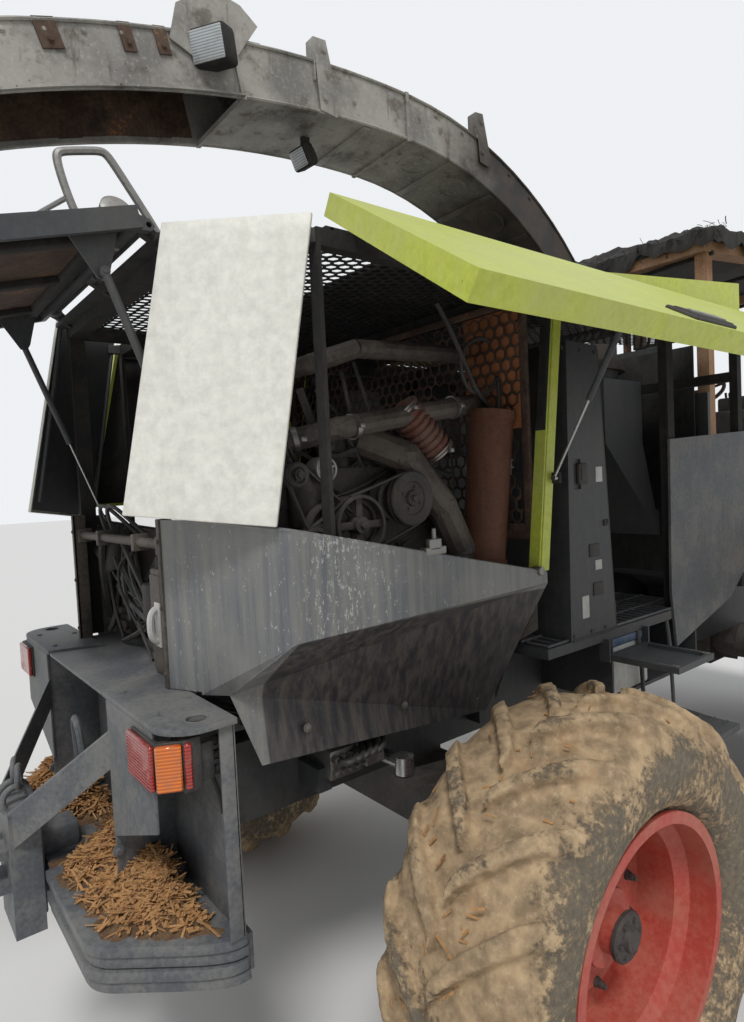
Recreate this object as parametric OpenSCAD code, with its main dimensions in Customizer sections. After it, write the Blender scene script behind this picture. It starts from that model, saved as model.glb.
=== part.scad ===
// Self-propelled forage harvester, burnt out, with its side flap and rear hatch raised.
// Units are millimetres. +Y is the driving direction, +X the machine's right, +Z up.
// Lengths along Y are given from the rear axle, and the whole is then centred over the ground.

/* [Stance] */
// Distance between the front and the rear axle
wheelbase = 3050; // [2900:10:3200]
// Ground to the underside of the frame rails
frame_z = 1040; // [1030:10:1060]

/* [Rear wheels] */
// Outer diameter of a rear tyre over its lugs
rear_tyre_d = 1460; // [1400:10:1470]
// Width of a rear tyre
rear_tyre_w = 560; // [520:10:580]
// Bead seat diameter of a rear rim
rear_rim_d = 762; // [720:2:800]
// Width of a rear rim
rear_rim_w = 480; // [440:10:490]
// Centre plane of a rear wheel from the middle of the machine
rear_wheel_x = 1200; // [1180:5:1230]
// Steering pivot from the middle of the machine
kingpin_x = 780; // [770:5:790]

/* [Front wheels] */
// Outer diameter of a front tyre over its lugs
front_tyre_d = 1840; // [1800:10:1900]
// Width of a front tyre
front_tyre_w = 680; // [640:10:700]
// Bead seat diameter of a front rim
front_rim_d = 813; // [780:2:860]
// Width of a front rim
front_rim_w = 600; // [560:10:620]
// Centre plane of a front wheel from the middle of the machine
front_wheel_x = 1240; // [1220:5:1260]

/* [Tread] */
// Height of a tread lug
lug_h = 36; // [20:1:45]
// Width of a tread lug
lug_w = 66; // [50:1:80]
// Tread lugs on each side of a rear tyre
rear_lugs = 18; // [14:1:22]
// Tread lugs on each side of a front tyre
front_lugs = 20; // [16:1:24]

/* [Body] */
// Half the width of the rear body at its side panels
body_x = 900; // [880:5:920]
// Half the width of the rear opening under the hatch
hatch_x = 600; // [560:5:620]
// Height of the hood's top rails
hood_z = 2900; // [2860:5:2940]
// Height of the rear deck plate
deck_z = 1550; // [1530:5:1570]
// Half the width of the rear deck plate
deck_x = 860; // [840:5:870]
// Thickness of a sheet panel
sheet_t = 8; // [5:1:12]
// Height of the service platform
platform_z = 1480; // [1470:5:1490]

/* [Flap and hatch] */
// Width of a side flap from its hinge to its free edge
flap_w = 790; // [760:5:810]
// Depth of a side flap with its folded rim
flap_t = 62; // [55:1:70]
// Slope of the raised right flap below the level
flap_open = 32; // [25:1:40]
// Length of the rear hatch from its hinge to its free edge
hatch_l = 830; // [780:5:850]
// Slope of the raised hatch below the level
hatch_open = 16; // [10:1:25]

/* [Cab] */
// Height of the cab floor
cab_floor_z = 1960; // [1930:5:1990]
// Underside of the cab roof frame
cab_roof_z = 3400; // [3380:5:3420]
// Back of the cab from the rear axle
cab_rear_y = 2220; // [2210:5:2250]
// Half the width of the cab at its back
cab_rear_x = 620; // [600:5:640]
// Half the width of the cab at its door post
cab_mid_x = 800; // [780:5:820]
// Section of a cab post
cab_post = 70; // [60:1:80]

/* [Discharge spout] */
// Highest point of the spout's top plate
spout_peak_z = 3870; // [3850:5:3890]
// Width of the spout
spout_w = 400; // [380:5:420]
// Height of the spout's section
spout_h = 200; // [180:5:220]
// Radius of the spout's top plate over the hood
spout_rear_r = 4500; // [4300:50:4700]
// Radius of the spout's top plate at its bend
spout_bend_r = 1750; // [1720:10:1780]
// Turning axis of the spout from the rear axle
slew_y = 1800; // [1780:5:1820]

/* [Hidden] */
$fn = 64;
rear_z = rear_tyre_d / 2;
front_z = front_tyre_d / 2;
intake_front_y = wheelbase + 1650;
spout_peak_y = 300;
spout_tip_a = 36;
spout_open_a = 11;
flap_tip_l = 360;
spout_tip_y = spout_peak_y - spout_rear_r * sin(spout_tip_a);
spout_flap_a = spout_tip_a + 6;
rear_reach = -spout_tip_y + 12 * cos(spout_tip_a) + (16 + flap_tip_l) * cos(spout_flap_a);
mid_y = (intake_front_y - rear_reach) / 2;

steel_grey = [0.36, 0.37, 0.38];
dark_grey = [0.2, 0.21, 0.22];
lime = [0.7, 0.78, 0.16];
cream = [0.86, 0.87, 0.84];
silver_grey = [0.48, 0.49, 0.5];
rust = [0.42, 0.22, 0.12];
rim_red = [0.78, 0.25, 0.2];
rubber = [0.3, 0.27, 0.22];

// Moves a piece drawn from the rear axle to its place over the middle of the ground
module placed() {
    translate([0, -mid_y, 0]) children();
}

// Draws a piece on the right and again on the left
module both_sides() {
    for (side = [0, 1]) mirror([side, 0, 0]) children();
}

// A bar of square or flat section lying along X, Y or Z between two heights
module block(x0, x1, y0, y1, z0, z1) {
    translate([x0, y0, z0]) cube([x1 - x0, y1 - y0, z1 - z0]);
}

// A round bar along X
module bar_x(x0, x1, y, z, r) {
    translate([x0, y, z]) rotate([0, 90, 0]) cylinder(r = r, h = x1 - x0);
}

// A round bar between two points
module rod(a, b, r, sides = 64) {
    v = b - a;
    l = norm(v);
    translate(a) rotate([0, acos(v[2] / l), atan2(v[1], v[0])]) cylinder(r = r, h = l, $fn = sides);
}

// A flat plate through four corners, its thickness laid along the given direction
module sheet(corners, n) {
    up = cross(corners[1] - corners[0], corners[2] - corners[0]) * n;
    c = up > 0 ? corners : [corners[3], corners[2], corners[1], corners[0]];
    polyhedron(
        points = concat(c, [for (p = c) p + n]),
        faces = [[0, 1, 2, 3], [7, 6, 5, 4], [1, 0, 4, 5], [2, 1, 5, 6], [3, 2, 6, 7], [0, 3, 7, 4]]
    );
}

// A profile drawn in the Y-Z plane and extruded across the machine
module across(x0, x1) {
    translate([x0, 0, 0]) rotate([90, 0, 90]) linear_extrude(x1 - x0) children();
}

// A profile drawn as radius and distance along X, turned about the X axis
module turned_x(y, z) {
    translate([0, y, z]) rotate([0, 90, 0]) rotate_extrude($fn = 96) children();
}

// Wheels

module rim_section(d, w) {
    r = d / 2;
    f = r + 24;
    h = w / 2;
    t = 12;
    well = 42;
    polygon([
        [f, h], [f, h - 14], [r, h - 24], [r, h - 92], [r - well, h - 124], [r - well, -h + 124],
        [r, -h + 92], [r, -h + 24], [f, -h + 14], [f, -h],
        [r - t, -h], [r - t, -h + 88], [r - well - t, -h + 120], [r - well - t, h - 120],
        [r - t, h - 88], [r - t, h]
    ]);
}

module wheel_disc_section(d, disc_x, hub_r, bore_r, hub_in, hub_out) {
    r = d / 2 - 42 - 11;
    polygon([
        [bore_r, hub_in], [hub_r, hub_in], [hub_r, disc_x - 10], [r * 0.62, disc_x - 10],
        [r * 0.8, disc_x - 46], [r, disc_x - 46], [r, disc_x - 32], [r * 0.82, disc_x - 32],
        [r * 0.65, disc_x + 6], [hub_r, disc_x + 6], [hub_r - 12, hub_out - 50],
        [hub_r * 0.55, hub_out - 44], [hub_r * 0.5, hub_out], [0, hub_out], [0, hub_out - 70],
        [bore_r, hub_out - 70]
    ]);
}

spindle_r = 48;
spindle_gap = 0.08;

module rear_rim() {
    color(rim_red) turned_x(0, 0) {
        rim_section(rear_rim_d, rear_rim_w);
        wheel_disc_section(rear_rim_d, 20, 128, spindle_r + spindle_gap, -150, 130);
    }
}

module front_rim() {
    color(rim_red) turned_x(0, 0) {
        rim_section(front_rim_d, front_rim_w);
        wheel_disc_section(front_rim_d, 60, 165, 90 + spindle_gap, -140, 190);
    }
}

function bow(a, e) = sign(a) * pow(abs(a), e);

module tyre_section(d, w, rim_d, rim_w, cut) {
    r_in = rim_d / 2;
    r_out = d / 2 - cut;
    seat = rim_w / 2 - 25;
    mid = (r_in + r_out) / 2;
    half = (r_out - r_in) / 2;
    wall = [for (a = [-40:13:90]) [mid + half * bow(sin(a), 0.75), w / 2 * bow(cos(a), 0.62)]];
    back = [for (i = [len(wall) - 2:-1:0]) [wall[i][0], -wall[i][1]]];
    polygon(concat([[r_in, -seat], [r_in, seat], [r_in + 27, seat]], wall, back, [[r_in + 27, -seat]]));
}

// Diagonal tread bars, trimmed to a shell between the carcass and the lug tips
module tread(d, w, rim_d, rim_w, n) {
    lean = w * 0.42;
    intersection() {
        for (side = [0, 1], i = [0:n - 1])
            mirror([side, 0, 0]) rotate([(i + side / 2) * 360 / n, 0, 0])
                translate([0, 0, d / 2 - lug_h * 2.5]) linear_extrude(lug_h * 4)
                    polygon([
                        [8, -lug_w * 0.6], [w / 2 + 5, lean - lug_w * 0.5],
                        [w / 2 + 5, lean + lug_w * 0.6], [8, lug_w * 0.5]
                    ]);
        turned_x(0, 0) difference() {
            tyre_section(d, w, rim_d, rim_w, 0);
            translate([0, -w]) square([d / 2 - lug_h - 30, 2 * w]);
        }
    }
}

module tyre(d, w, rim_d, rim_w, n) {
    color(rubber) union() {
        turned_x(0, 0) tyre_section(d, w, rim_d, rim_w, lug_h);
        tread(d, w, rim_d, rim_w, n);
    }
}

module at_rear_wheel(side) {
    placed() translate([side * rear_wheel_x, 0, rear_z]) mirror([side < 0 ? 1 : 0, 0, 0]) children();
}

module at_front_wheel(side) {
    placed() translate([side * front_wheel_x, wheelbase, front_z])
        mirror([side < 0 ? 1 : 0, 0, 0]) children();
}

module rear_rim_right() { at_rear_wheel(1) rear_rim(); }
module rear_rim_left() { at_rear_wheel(-1) rear_rim(); }
module front_rim_right() { at_front_wheel(1) front_rim(); }
module front_rim_left() { at_front_wheel(-1) front_rim(); }

module rear_tyre_right() {
    at_rear_wheel(1) tyre(rear_tyre_d, rear_tyre_w, rear_rim_d, rear_rim_w, rear_lugs);
}

module rear_tyre_left() {
    at_rear_wheel(-1) tyre(rear_tyre_d, rear_tyre_w, rear_rim_d, rear_rim_w, rear_lugs);
}

module front_tyre_right() {
    at_front_wheel(1) tyre(front_tyre_d, front_tyre_w, front_rim_d, front_rim_w, front_lugs);
}

module front_tyre_left() {
    at_front_wheel(-1) tyre(front_tyre_d, front_tyre_w, front_rim_d, front_rim_w, front_lugs);
}

// Axles and steering

fork_top = 1075;
fork_low = 440;
fork_t = 50;
kingpin_r = 62;
arm_z = fork_top + 14;
arm_t = 30;
arm_back = 300;
steer_rod_r = 24;
steer_z = arm_z + arm_t + 6 + 30;
cylinder_half = 260;

module rear_axle() {
    color(steel_grey) placed() difference() {
        union() {
            block(-700, 700, -110, 110, 800, frame_z - 20);
            both_sides() {
                block(640, kingpin_x + 70, -75, 75, fork_top - fork_t, fork_top);
                block(640, kingpin_x + 70, -75, 75, fork_low, fork_low + fork_t);
                block(640, 700, -95, 95, fork_low, fork_top);
            }
            both_sides() block(rail_x - rail_w / 2, rail_x + rail_w / 2, -100, 100, frame_z - 21, frame_z);
            bar_x(-cylinder_half, cylinder_half, -arm_back, steer_z, 52);
            for (s = [-1, 1])
                block(s * 150 - 20, s * 150 + 20, -arm_back, -100, steer_z - 60, steer_z - 10);
            for (s = [-1, 1])
                block(s * 150 - 20, s * 150 + 20, -130, -90, 900, steer_z - 10);
        }
        both_sides() translate([kingpin_x, 0, fork_low - 1]) cylinder(r = 30.1, h = 700);
        bar_x(-cylinder_half - 1, cylinder_half + 1, -arm_back, steer_z, steer_rod_r + 0.08);
    }
}

module knuckle() {
    color(steel_grey) union() {
        translate([kingpin_x, 0, fork_low + fork_t + 5])
            cylinder(r = kingpin_r, h = fork_top - fork_low - 2 * fork_t - 10);
        translate([kingpin_x, 0, fork_low - 10]) cylinder(r = 30, h = arm_z + arm_t - fork_low + 10);
        bar_x(kingpin_x, rear_wheel_x - 155, 0, rear_z, 85);
        bar_x(kingpin_x, rear_wheel_x + 55, 0, rear_z, spindle_r);
        translate([0, 0, arm_z]) linear_extrude(arm_t) polygon([
            [kingpin_x - 50, 40], [kingpin_x + 50, 40], [kingpin_x + 40, -60],
            [kingpin_x - 60, -arm_back - 30], [kingpin_x - 130, -arm_back - 30], [kingpin_x - 70, -60]
        ]);
    }
}

module knuckle_right() { placed() knuckle(); }
module knuckle_left() { placed() mirror([1, 0, 0]) knuckle(); }

module steer_rod() {
    color(silver_grey) placed() union() {
        bar_x(-kingpin_x + 110, kingpin_x - 110, -arm_back, steer_z, steer_rod_r);
        both_sides() translate([kingpin_x - 95, -arm_back, arm_z + arm_t + 5]) cylinder(r = 34, h = 62);
    }
}

module front_axle() {
    color(dark_grey) placed() union() {
        bar_x(-800, 800, wheelbase, front_z, 120);
        block(-300, 300, wheelbase - 170, wheelbase + 170, front_z - 160, front_z + 140);
        both_sides() {
            bar_x(800, front_wheel_x - 145, wheelbase, front_z, 200);
            bar_x(front_wheel_x - 146, front_wheel_x + 110, wheelbase, front_z, 90);
            block(rail_x - rail_w / 2, rail_x + rail_w / 2, wheelbase - 150, wheelbase + 150, front_z, frame_z);
            difference() {
                block(lift_x - 60, lift_x + 60, wheelbase + 60, lift_foot[0] + 34, lift_foot[1] - 40, front_z - 60);
                block(lift_x - 46, lift_x + 46, wheelbase + 190, lift_foot[0] + 35, lift_foot[1] - 41, front_z - 59);
            }
            bar_x(lift_x - 59, lift_x + 59, lift_foot[0], lift_foot[1], 20);
        }
    }
}

// Frame

rail_x = 400;
rail_w = 100;
rail_h = 270;
rail_rear_y = -1010;
rail_front_y = wheelbase + 310;

lift_x = 500;
lift_foot = [wheelbase + 290, 640];
lift_eye = [wheelbase + 1080, 700];

module chassis_frame() {
    color(dark_grey) placed() union() {
        both_sides() difference() {
            block(rail_x - rail_w / 2, rail_x + rail_w / 2, rail_rear_y, rail_front_y,
                frame_z, frame_z + rail_h);
            bar_x(0, kingpin_x, -arm_back, steer_z, 42);
        }
        for (y = [-960, -600, 180, 1000, 1640, wheelbase - 760])
            block(-rail_x, rail_x, y, y + 80, frame_z + 60, frame_z + rail_h - 60);
        block(-580, 580, -590, -540, frame_z + 70, frame_z + 150);
    }
}

// Engine and what is seen in the open bay

engine_y = -240;
pulley_x = 640;

module pulley(y, z, r, w) {
    hub = r * 0.28;
    turned_x(y, z) translate([0, pulley_x]) polygon([
        [0, -62], [hub, -62], [hub, w * 0.3], [r * 0.8, w * 0.3], [r * 0.8, 0],
        [r, 0], [r - 8, w * 0.5], [r, w], [r * 0.8, w], [r * 0.8, w * 0.7], [hub, w * 0.7],
        [hub, w], [0, w]
    ]);
}

module engine_block() {
    color(dark_grey) placed() union() {
        block(-560, 560, engine_y - 240, engine_y + 240, 1420, 1900);
        block(-540, 540, engine_y - 190, engine_y + 190, 1890, 2120);
        block(-480, 480, engine_y - 150, engine_y + 150, frame_z + rail_h, 1430);
        block(-560, 584, engine_y - 200, engine_y + 200, 1560, 2060);
        pulley(-470, 2010, 95, 60);
        pulley(-640, 1950, 60, 50);
        pulley(-290, 2085, 75, 50);
        pulley(-690, 2180, 36, 40);
        block(540, 582, -720, -210, 1880, 2200);
    }
}

module tube_through(points, r) {
    for (i = [0:len(points) - 2]) {
        rod(points[i], points[i + 1], r, 12);
        if (i < len(points) - 2) translate(points[i + 1]) sphere(r = r * 1.04, $fn = 12);
    }
}

engine_top = 2120;

module engine_pipes() {
    color(rust) placed() union() {
        tube_through([[500, -780, 2230], [560, -640, 2290], [640, -480, 2330], [640, 210, 2440]], 38);
        tube_through([[560, -330, 2300], [660, -210, 2230], [680, -60, 2050], [670, 40, 1880],
            [640, 40, 1700]], 58);
        tube_through([[560, -330, 2300], [318, -284, 2230], [318, -284, engine_top]], 52);
        tube_through([[-500, -700, 2480], [200, -700, 2500], [520, -500, 2560], [560, -330, 2620]], 34);
        tube_through([[-500, -700, 2480], [-540, -540, 2300], [-500, -400, 2240], [-500, -400, engine_top]], 34);
        tube_through([[500, -780, 2230], [180, -760, 2220], [180, -395, 2220], [180, -395, engine_top]], 38);
        tube_through([[560, -330, 2620], [560, 200, 2640]], 34);
    }
}

screen_y = 262;

module bay_screen() {
    color(rust) placed() difference() {
        block(-body_x + 62, body_x - 62, screen_y, screen_y + sheet_t, 1900, hood_z - 80);
        for (i = [0:15], j = [0:6])
            translate([-810 + i * 108 + (j % 2) * 54, screen_y - 5, 2240 + j * 86])
                rotate([-90, 0, 0]) cylinder(r = 34, h = 30, $fn = 6);
    }
}

// Hood

hood_rear_y = -990;
post_top_y = 420;
post_low_y = 280;
hood_front_y = 2060;
hinge_x = body_x;
hinge_z = hood_z;

hinge_pin_r = 8;
hinge_gap = 0.08;
flap_tabs = [-560, 300, 1100, 1900];
hatch_tabs = [-520, 0, 520];
tab_w = 30;
hatch_y = -1050;

module leaning_post(y_low, y_top, z_low, z_top, x0, x1, w) {
    across(x0, x1) polygon([[y_low, z_low], [y_low + w, z_low], [y_top + w, z_top], [y_top, z_top]]);
}

module hood_side() {
    block(hatch_x - 25, hatch_x, hood_rear_y + 60 + seat_gap, -650, hood_z - 80, hood_z - 30);
    block(hatch_x - 25, body_x - 28, -690, -640, hood_z - 80, hood_z - 30);
    block(body_x - 70, body_x - 28, -690, hood_front_y, hood_z - 80, hood_z - 30);
    block(body_x - 70, body_x - 28, -690, -640, 1740, hood_z - 60);
    leaning_post(post_low_y - 50, post_top_y - 50, 1764.6, hood_z - 40, body_x - 60, body_x - 15, 50);
    block(body_x - 70, body_x - 28, 1250, 1310, platform_z, hood_z - 60);
    block(body_x - 70, body_x - 28, hood_front_y - 50, hood_front_y, platform_z, hood_z - 60);
    for (y = flap_tabs) translate([0, y - tab_w / 2, 0]) rotate([90, 0, 0]) mirror([0, 0, 1])
        linear_extrude(tab_w) polygon([
            [body_x - 50, hood_z - 70], [body_x - 28, hood_z - 70], [hinge_x - 16, hinge_z - 20],
            [hinge_x + 4, hinge_z - 14], [hinge_x + 12, hinge_z - 6], [hinge_x + 12, hinge_z + 6],
            [hinge_x + 6, hinge_z + 13], [hinge_x - 11, hinge_z + 13], [body_x - 28, hood_z - 30],
            [body_x - 50, hood_z - 30]
        ]);
    translate([hinge_x, flap_tabs[0], hinge_z]) rotate([-90, 0, 0])
        cylinder(r = hinge_pin_r, h = flap_tabs[3] - flap_tabs[0]);
    translate([strut_foot[0], strut_y + 13, strut_foot[1]]) rotate([-90, 0, 0]) cylinder(r = 9, h = 20);
    block(body_x - 30, strut_foot[0] + 10, strut_y + 18, strut_y + 30, strut_foot[1] - 20, strut_foot[1] + 20);
}
module hood_side_right() {
    color(dark_grey) placed() union() hood_side();
}
module hood_side_left() {
    color(dark_grey) placed() mirror([1, 0, 0]) union() hood_side();
}
module hood_cross_bars() {
    half = body_x - 70 - seat_gap;
    color(dark_grey) placed() {
        for (y = [300, 1250]) block(-half, half, y, y + 50, hood_z - 80, hood_z - 30);
        block(-half, half, hood_front_y - 50, hood_front_y, hood_z - 300, hood_z - 250);
    }
}
module hood_frame() {
    color(dark_grey) placed() union() {
        both_sides() {
            block(hatch_x - 40, hatch_x - 10, hood_rear_y, hood_rear_y + 60, deck_z, hood_z - 60);
            block(hatch_x - 40, hatch_x - 10, hood_rear_y + 50, hood_rear_y + 110, hatch_foot[1] - 20, hatch_foot[1] + 20);
            bar_x(hatch_strut_x + 13, hatch_x - 20, hatch_foot[0], hatch_foot[1], 10);
        }
        for (x = hatch_tabs) across(x - tab_w / 2, x + tab_w / 2) polygon([
            [hood_rear_y + 10, hood_z - 60], [hatch_y + 4, hood_z - 20], [hatch_y - 16, hood_z - 10],
            [hatch_y - 16, hood_z + 14], [hatch_y + 12, hood_z + 16], [hood_rear_y + 10, hood_z - 30]
        ]);
        bar_x(hatch_tabs[0], hatch_tabs[2], hatch_y, hood_z, hinge_pin_r);
        block(-hatch_x, hatch_x, hood_rear_y, hood_rear_y + 60, hood_z - 80, hood_z - 30);
    }
}

module service_columns() {
    color(dark_grey) placed() both_sides()
        difference() {
            across(520, body_x - 16) polygon([
                [420, platform_z], [740, platform_z], [660, 2660], [450, 2660]
            ]);
            block(body_x - 26, body_x, 470, 520, 2080, 2200);
        }
}

module hood_roof() {
    color(rust) placed() difference() {
        union() {
            block(-hatch_x, hatch_x, hood_rear_y + 20, -640, hood_z - 30, hood_z - 22);
            block(-body_x + 30, body_x - 30, -640, hood_front_y, hood_z - 30, hood_z - 22);
        }
        translate([0, slew_y, hood_z - 40]) cylinder(r = 330, h = 30);
        for (i = [0:14], j = [0:7])
            translate([-790 + i * 110 + (j % 2) * 40, -560 + j * 96, hood_z - 40]) cylinder(r = 34, h = 30, $fn = 6);
    }
}

module hood_covers() {
    color(lime) placed() both_sides() {
        sheet([
            [body_x - 30, 450, hood_z + 10], [body_x - 30, hood_front_y, hood_z + 10],
            [body_x - 30, hood_front_y, hood_z + 220], [body_x - 30, 450, hood_z + 40]
        ], [-sheet_t, 0, 0]);
        sheet([
            [body_x - 30, 450, hood_z + 40], [body_x - 30, hood_front_y, hood_z + 220],
            [body_x - 230, hood_front_y, hood_z + 230], [body_x - 230, 450, hood_z + 50]
        ], [0, 0, -sheet_t]);
        block(body_x - 60, body_x - 30, 460, 500, hood_z - 22, hood_z + 40);
        block(body_x - 60, body_x - 30, hood_front_y - 50, hood_front_y - 10, hood_z - 22, hood_z + 210);
    }
}

corner_in = [600, -990];
corner_out = [body_x, -840];
band_tip_y = 260;

module side_bands() {
    color(silver_grey) placed() both_sides() union() {
        sheet([
            [corner_in[0], corner_in[1], deck_z], [corner_in[0] + 70, corner_in[1] + 55, deck_z],
            [corner_out[0], corner_out[1], 1720], [corner_out[0], corner_out[1], 2030]
        ], [-8, 10, 0]);
        sheet([
            [corner_in[0], corner_in[1], deck_z], [corner_out[0], corner_out[1], 2030],
            [corner_in[0], corner_in[1], 2070], [corner_in[0], corner_in[1], 2000]
        ], [-8, 10, 0]);
        sheet([
            [body_x, corner_out[1], 1720], [body_x, band_tip_y, 1740],
            [body_x, band_tip_y, 1780], [body_x, corner_out[1], 2030]
        ], [-sheet_t, 0, 0]);
        sheet([
            [corner_in[0] + 70, corner_in[1] + 55, deck_z], [700, -860, 1330],
            [690, 120, 1240], [body_x, band_tip_y, 1740]
        ], [-sheet_t, 0, 4]);
        sheet([
            [corner_in[0] + 70, corner_in[1] + 55, deck_z], [body_x, band_tip_y, 1740],
            [body_x, corner_out[1], 1720], [body_x - 10, corner_out[1] - 8, 1714]
        ], [-sheet_t, 0, 4]);
        sheet([
            [690, 120, 1240], [640, 120, 1240], [640, 120, 1780], [body_x - 6, band_tip_y - 4, 1760]
        ], [0, sheet_t, 0]);
    }
}

seat_gap = 0.3;
hood_corner_y = -690;

module corner_panels() {
    color(cream) placed() both_sides() {
        sheet([
            [hatch_x + 8, -1190, 2090], [body_x - 12, -878, 2040],
            [body_x - 12, -712, hood_z], [hatch_x + 8, -1030, hood_z]
        ], [-8, 18, 0]);
        translate([0, 0, hood_z - 75]) linear_extrude(40) polygon([
            [body_x - 60, hood_corner_y - seat_gap], [body_x - 29, hood_corner_y - seat_gap],
            [body_x - 29, hood_corner_y - 32], [body_x - 60, hood_corner_y - 67]
        ]);
    }
}

// Flap from its hinge line: u runs to the free edge and v to the outside
flap_rear_y = -690;
flap_rear_low_y = -860;
flap_front_y = 2010;
flap_u0 = 20;
flap_rim = 13;
flap_skin = 18;
flap_v0 = -8;
strut_u = 400;
strut_v = 8;
strut_y = 300;
strut_foot = [917, 2130];
strut_r = 12;
strut_rod_r = 5;
strut_barrel = 340;

module flap_outline(inset) {
    polygon([
        [flap_u0 + inset, flap_rear_y + inset], [flap_u0 + flap_w - inset, flap_rear_low_y + inset],
        [flap_u0 + flap_w - inset, flap_front_y - inset], [flap_u0 + inset, flap_front_y - inset]
    ]);
}

module flap_shape() {
    difference() {
        union() {
            difference() {
                translate([0, 0, flap_v0]) linear_extrude(flap_t) flap_outline(0);
                translate([0, 0, flap_v0 - 1]) linear_extrude(flap_t - flap_skin + 1) flap_outline(flap_rim);
            }
            for (y = flap_tabs) translate([0, y + tab_w / 2 + 6, 0]) rotate([-90, 0, 0]) linear_extrude(tab_w)
                polygon([[-16, -6], [-6, 16], [0, 18], [flap_u0 + 10, 8], [flap_u0 + 10, -50], [-10, -16]]);
            translate([strut_u - 20, strut_y - 19, strut_v - 14]) cube([40, 6, flap_t + flap_v0 - flap_skin - strut_v + 16]);
            translate([strut_u, strut_y - 19, strut_v]) rotate([-90, 0, 0]) cylinder(r = 7, h = 30);
        }
        translate([0, flap_rear_y, 0]) rotate([-90, 0, 0])
            cylinder(r = hinge_pin_r + hinge_gap, h = flap_front_y - flap_rear_y);
    }
}

module side_flap_right() {
    color(lime) placed() translate([hinge_x, 0, hinge_z]) rotate([0, flap_open, 0]) flap_shape();
}

module side_flap_left() {
    color(lime) placed() mirror([1, 0, 0]) translate([hinge_x, 0, hinge_z]) rotate([0, 90, 0]) flap_shape();
}

// Barrel and rod of a strut in a plane, from the barrel's eye a to the rod's eye b, laid along +Z from a
module strut_barrel_shape(r, rod_r, eye_r, eye_w, pin_r, l) {
    difference() {
        union() {
            translate([0, 0, eye_r * 0.75]) cylinder(r = r, h = l - eye_r * 0.75);
            translate([-eye_w / 2, 0, 0]) rotate([0, 90, 0]) cylinder(r = eye_r, h = eye_w);
        }
        translate([-eye_w, 0, 0]) rotate([0, 90, 0]) cylinder(r = pin_r + hinge_gap, h = 2 * eye_w);
        translate([0, 0, eye_r + 12]) cylinder(r = rod_r + hinge_gap, h = l);
    }
}

module strut_rod_shape(rod_r, eye_r, eye_w, from, to) {
    translate([0, 0, from]) cylinder(r = rod_r, h = to - from - eye_r * 0.8);
    translate([-eye_w / 2, 0, to]) rotate([0, 90, 0]) cylinder(r = eye_r, h = eye_w);
}

// Lays a strut shape in a Y-Z plane: from eye a towards eye b at the given x
module strut_yz(a, b, x) {
    translate([x, a[0], a[1]]) rotate([-atan2(b[0] - a[0], b[1] - a[1]), 0, 0]) children();
}

// Lays a strut shape in an X-Z plane: from eye a towards eye b at the given y
module strut_xz(a, b, y) {
    translate([a[0], y, a[1]]) rotate([0, atan2(b[0] - a[0], b[1] - a[1]), 0]) rotate([0, 0, 90]) children();
}

function flap_point(a) = [
    hinge_x + strut_u * cos(a) + strut_v * sin(a), hinge_z - strut_u * sin(a) + strut_v * cos(a)
];

module flap_strut(a) {
    strut_xz(flap_point(a), strut_foot, strut_y) strut_barrel_shape(strut_r, strut_rod_r, 14, 16, 7, strut_barrel);
}

module flap_rod(a) {
    l = norm(flap_point(a) - strut_foot);
    strut_xz(flap_point(a), strut_foot, strut_y) strut_rod_shape(strut_rod_r, 10, 16, l - 330, l);
}

module flap_strut_right() { color(dark_grey) placed() flap_strut(flap_open); }
module flap_strut_left() { color(dark_grey) placed() mirror([1, 0, 0]) flap_strut(90); }
module flap_rod_right() { color(silver_grey) placed() flap_rod(flap_open); }
module flap_rod_left() { color(silver_grey) placed() mirror([1, 0, 0]) flap_rod(90); }

hatch_strut_x = 540;
hatch_eye = [-1170, 2760];
hatch_foot = [-900, 2040];
hatch_barrel = 420;

module rear_hatch() {
    eye = [-(hatch_eye[0] - hatch_y), hatch_eye[1] - hood_z];
    eye_u = eye[0] * cos(hatch_open) - eye[1] * sin(hatch_open);
    eye_v = eye[0] * sin(hatch_open) + eye[1] * cos(hatch_open);
    color(dark_grey) placed() translate([0, hatch_y, hood_z]) rotate([hatch_open, 0, 0]) mirror([0, 1, 0])
        difference() {
            union() {
                difference() {
                    translate([-hatch_x + 12, 26, -10]) cube([2 * hatch_x - 24, hatch_l, 60]);
                    translate([-hatch_x + 32, 46, -11]) cube([2 * hatch_x - 64, hatch_l - 40, 41]);
                }
                for (x = hatch_tabs) across(x + tab_w / 2 + 6, x + 1.5 * tab_w + 6) polygon([
                    [-16, -6], [-8, 16], [2, 18], [40, 45], [40, -8], [0, -18], [-10, -14]
                ]);
                both_sides() {
                    across(hatch_strut_x - 19, hatch_strut_x - 13) polygon([
                        [60, 31], [220, 31], [eye_u + 20, eye_v - 10], [eye_u, eye_v - 20], [eye_u - 20, eye_v]
                    ]);
                    bar_x(hatch_strut_x - 19, hatch_strut_x + 10, eye_u, eye_v, 7);
                }
            }
            bar_x(-hatch_x, hatch_x, 0, 0, hinge_pin_r + hinge_gap);
        }
}

module hatch_struts() {
    color(dark_grey) placed() both_sides()
        strut_yz(hatch_eye, hatch_foot, hatch_strut_x) strut_barrel_shape(strut_r, strut_rod_r, 14, 16, 7, hatch_barrel);
}

module hatch_rods() {
    l = norm(hatch_eye - hatch_foot);
    color(silver_grey) placed() both_sides()
        strut_yz(hatch_eye, hatch_foot, hatch_strut_x) strut_rod_shape(strut_rod_r, 10, 16, l - 440, l);
}

// Platform, steps and side panels

platform_y0 = 270;
platform_y1 = 1480;

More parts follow.
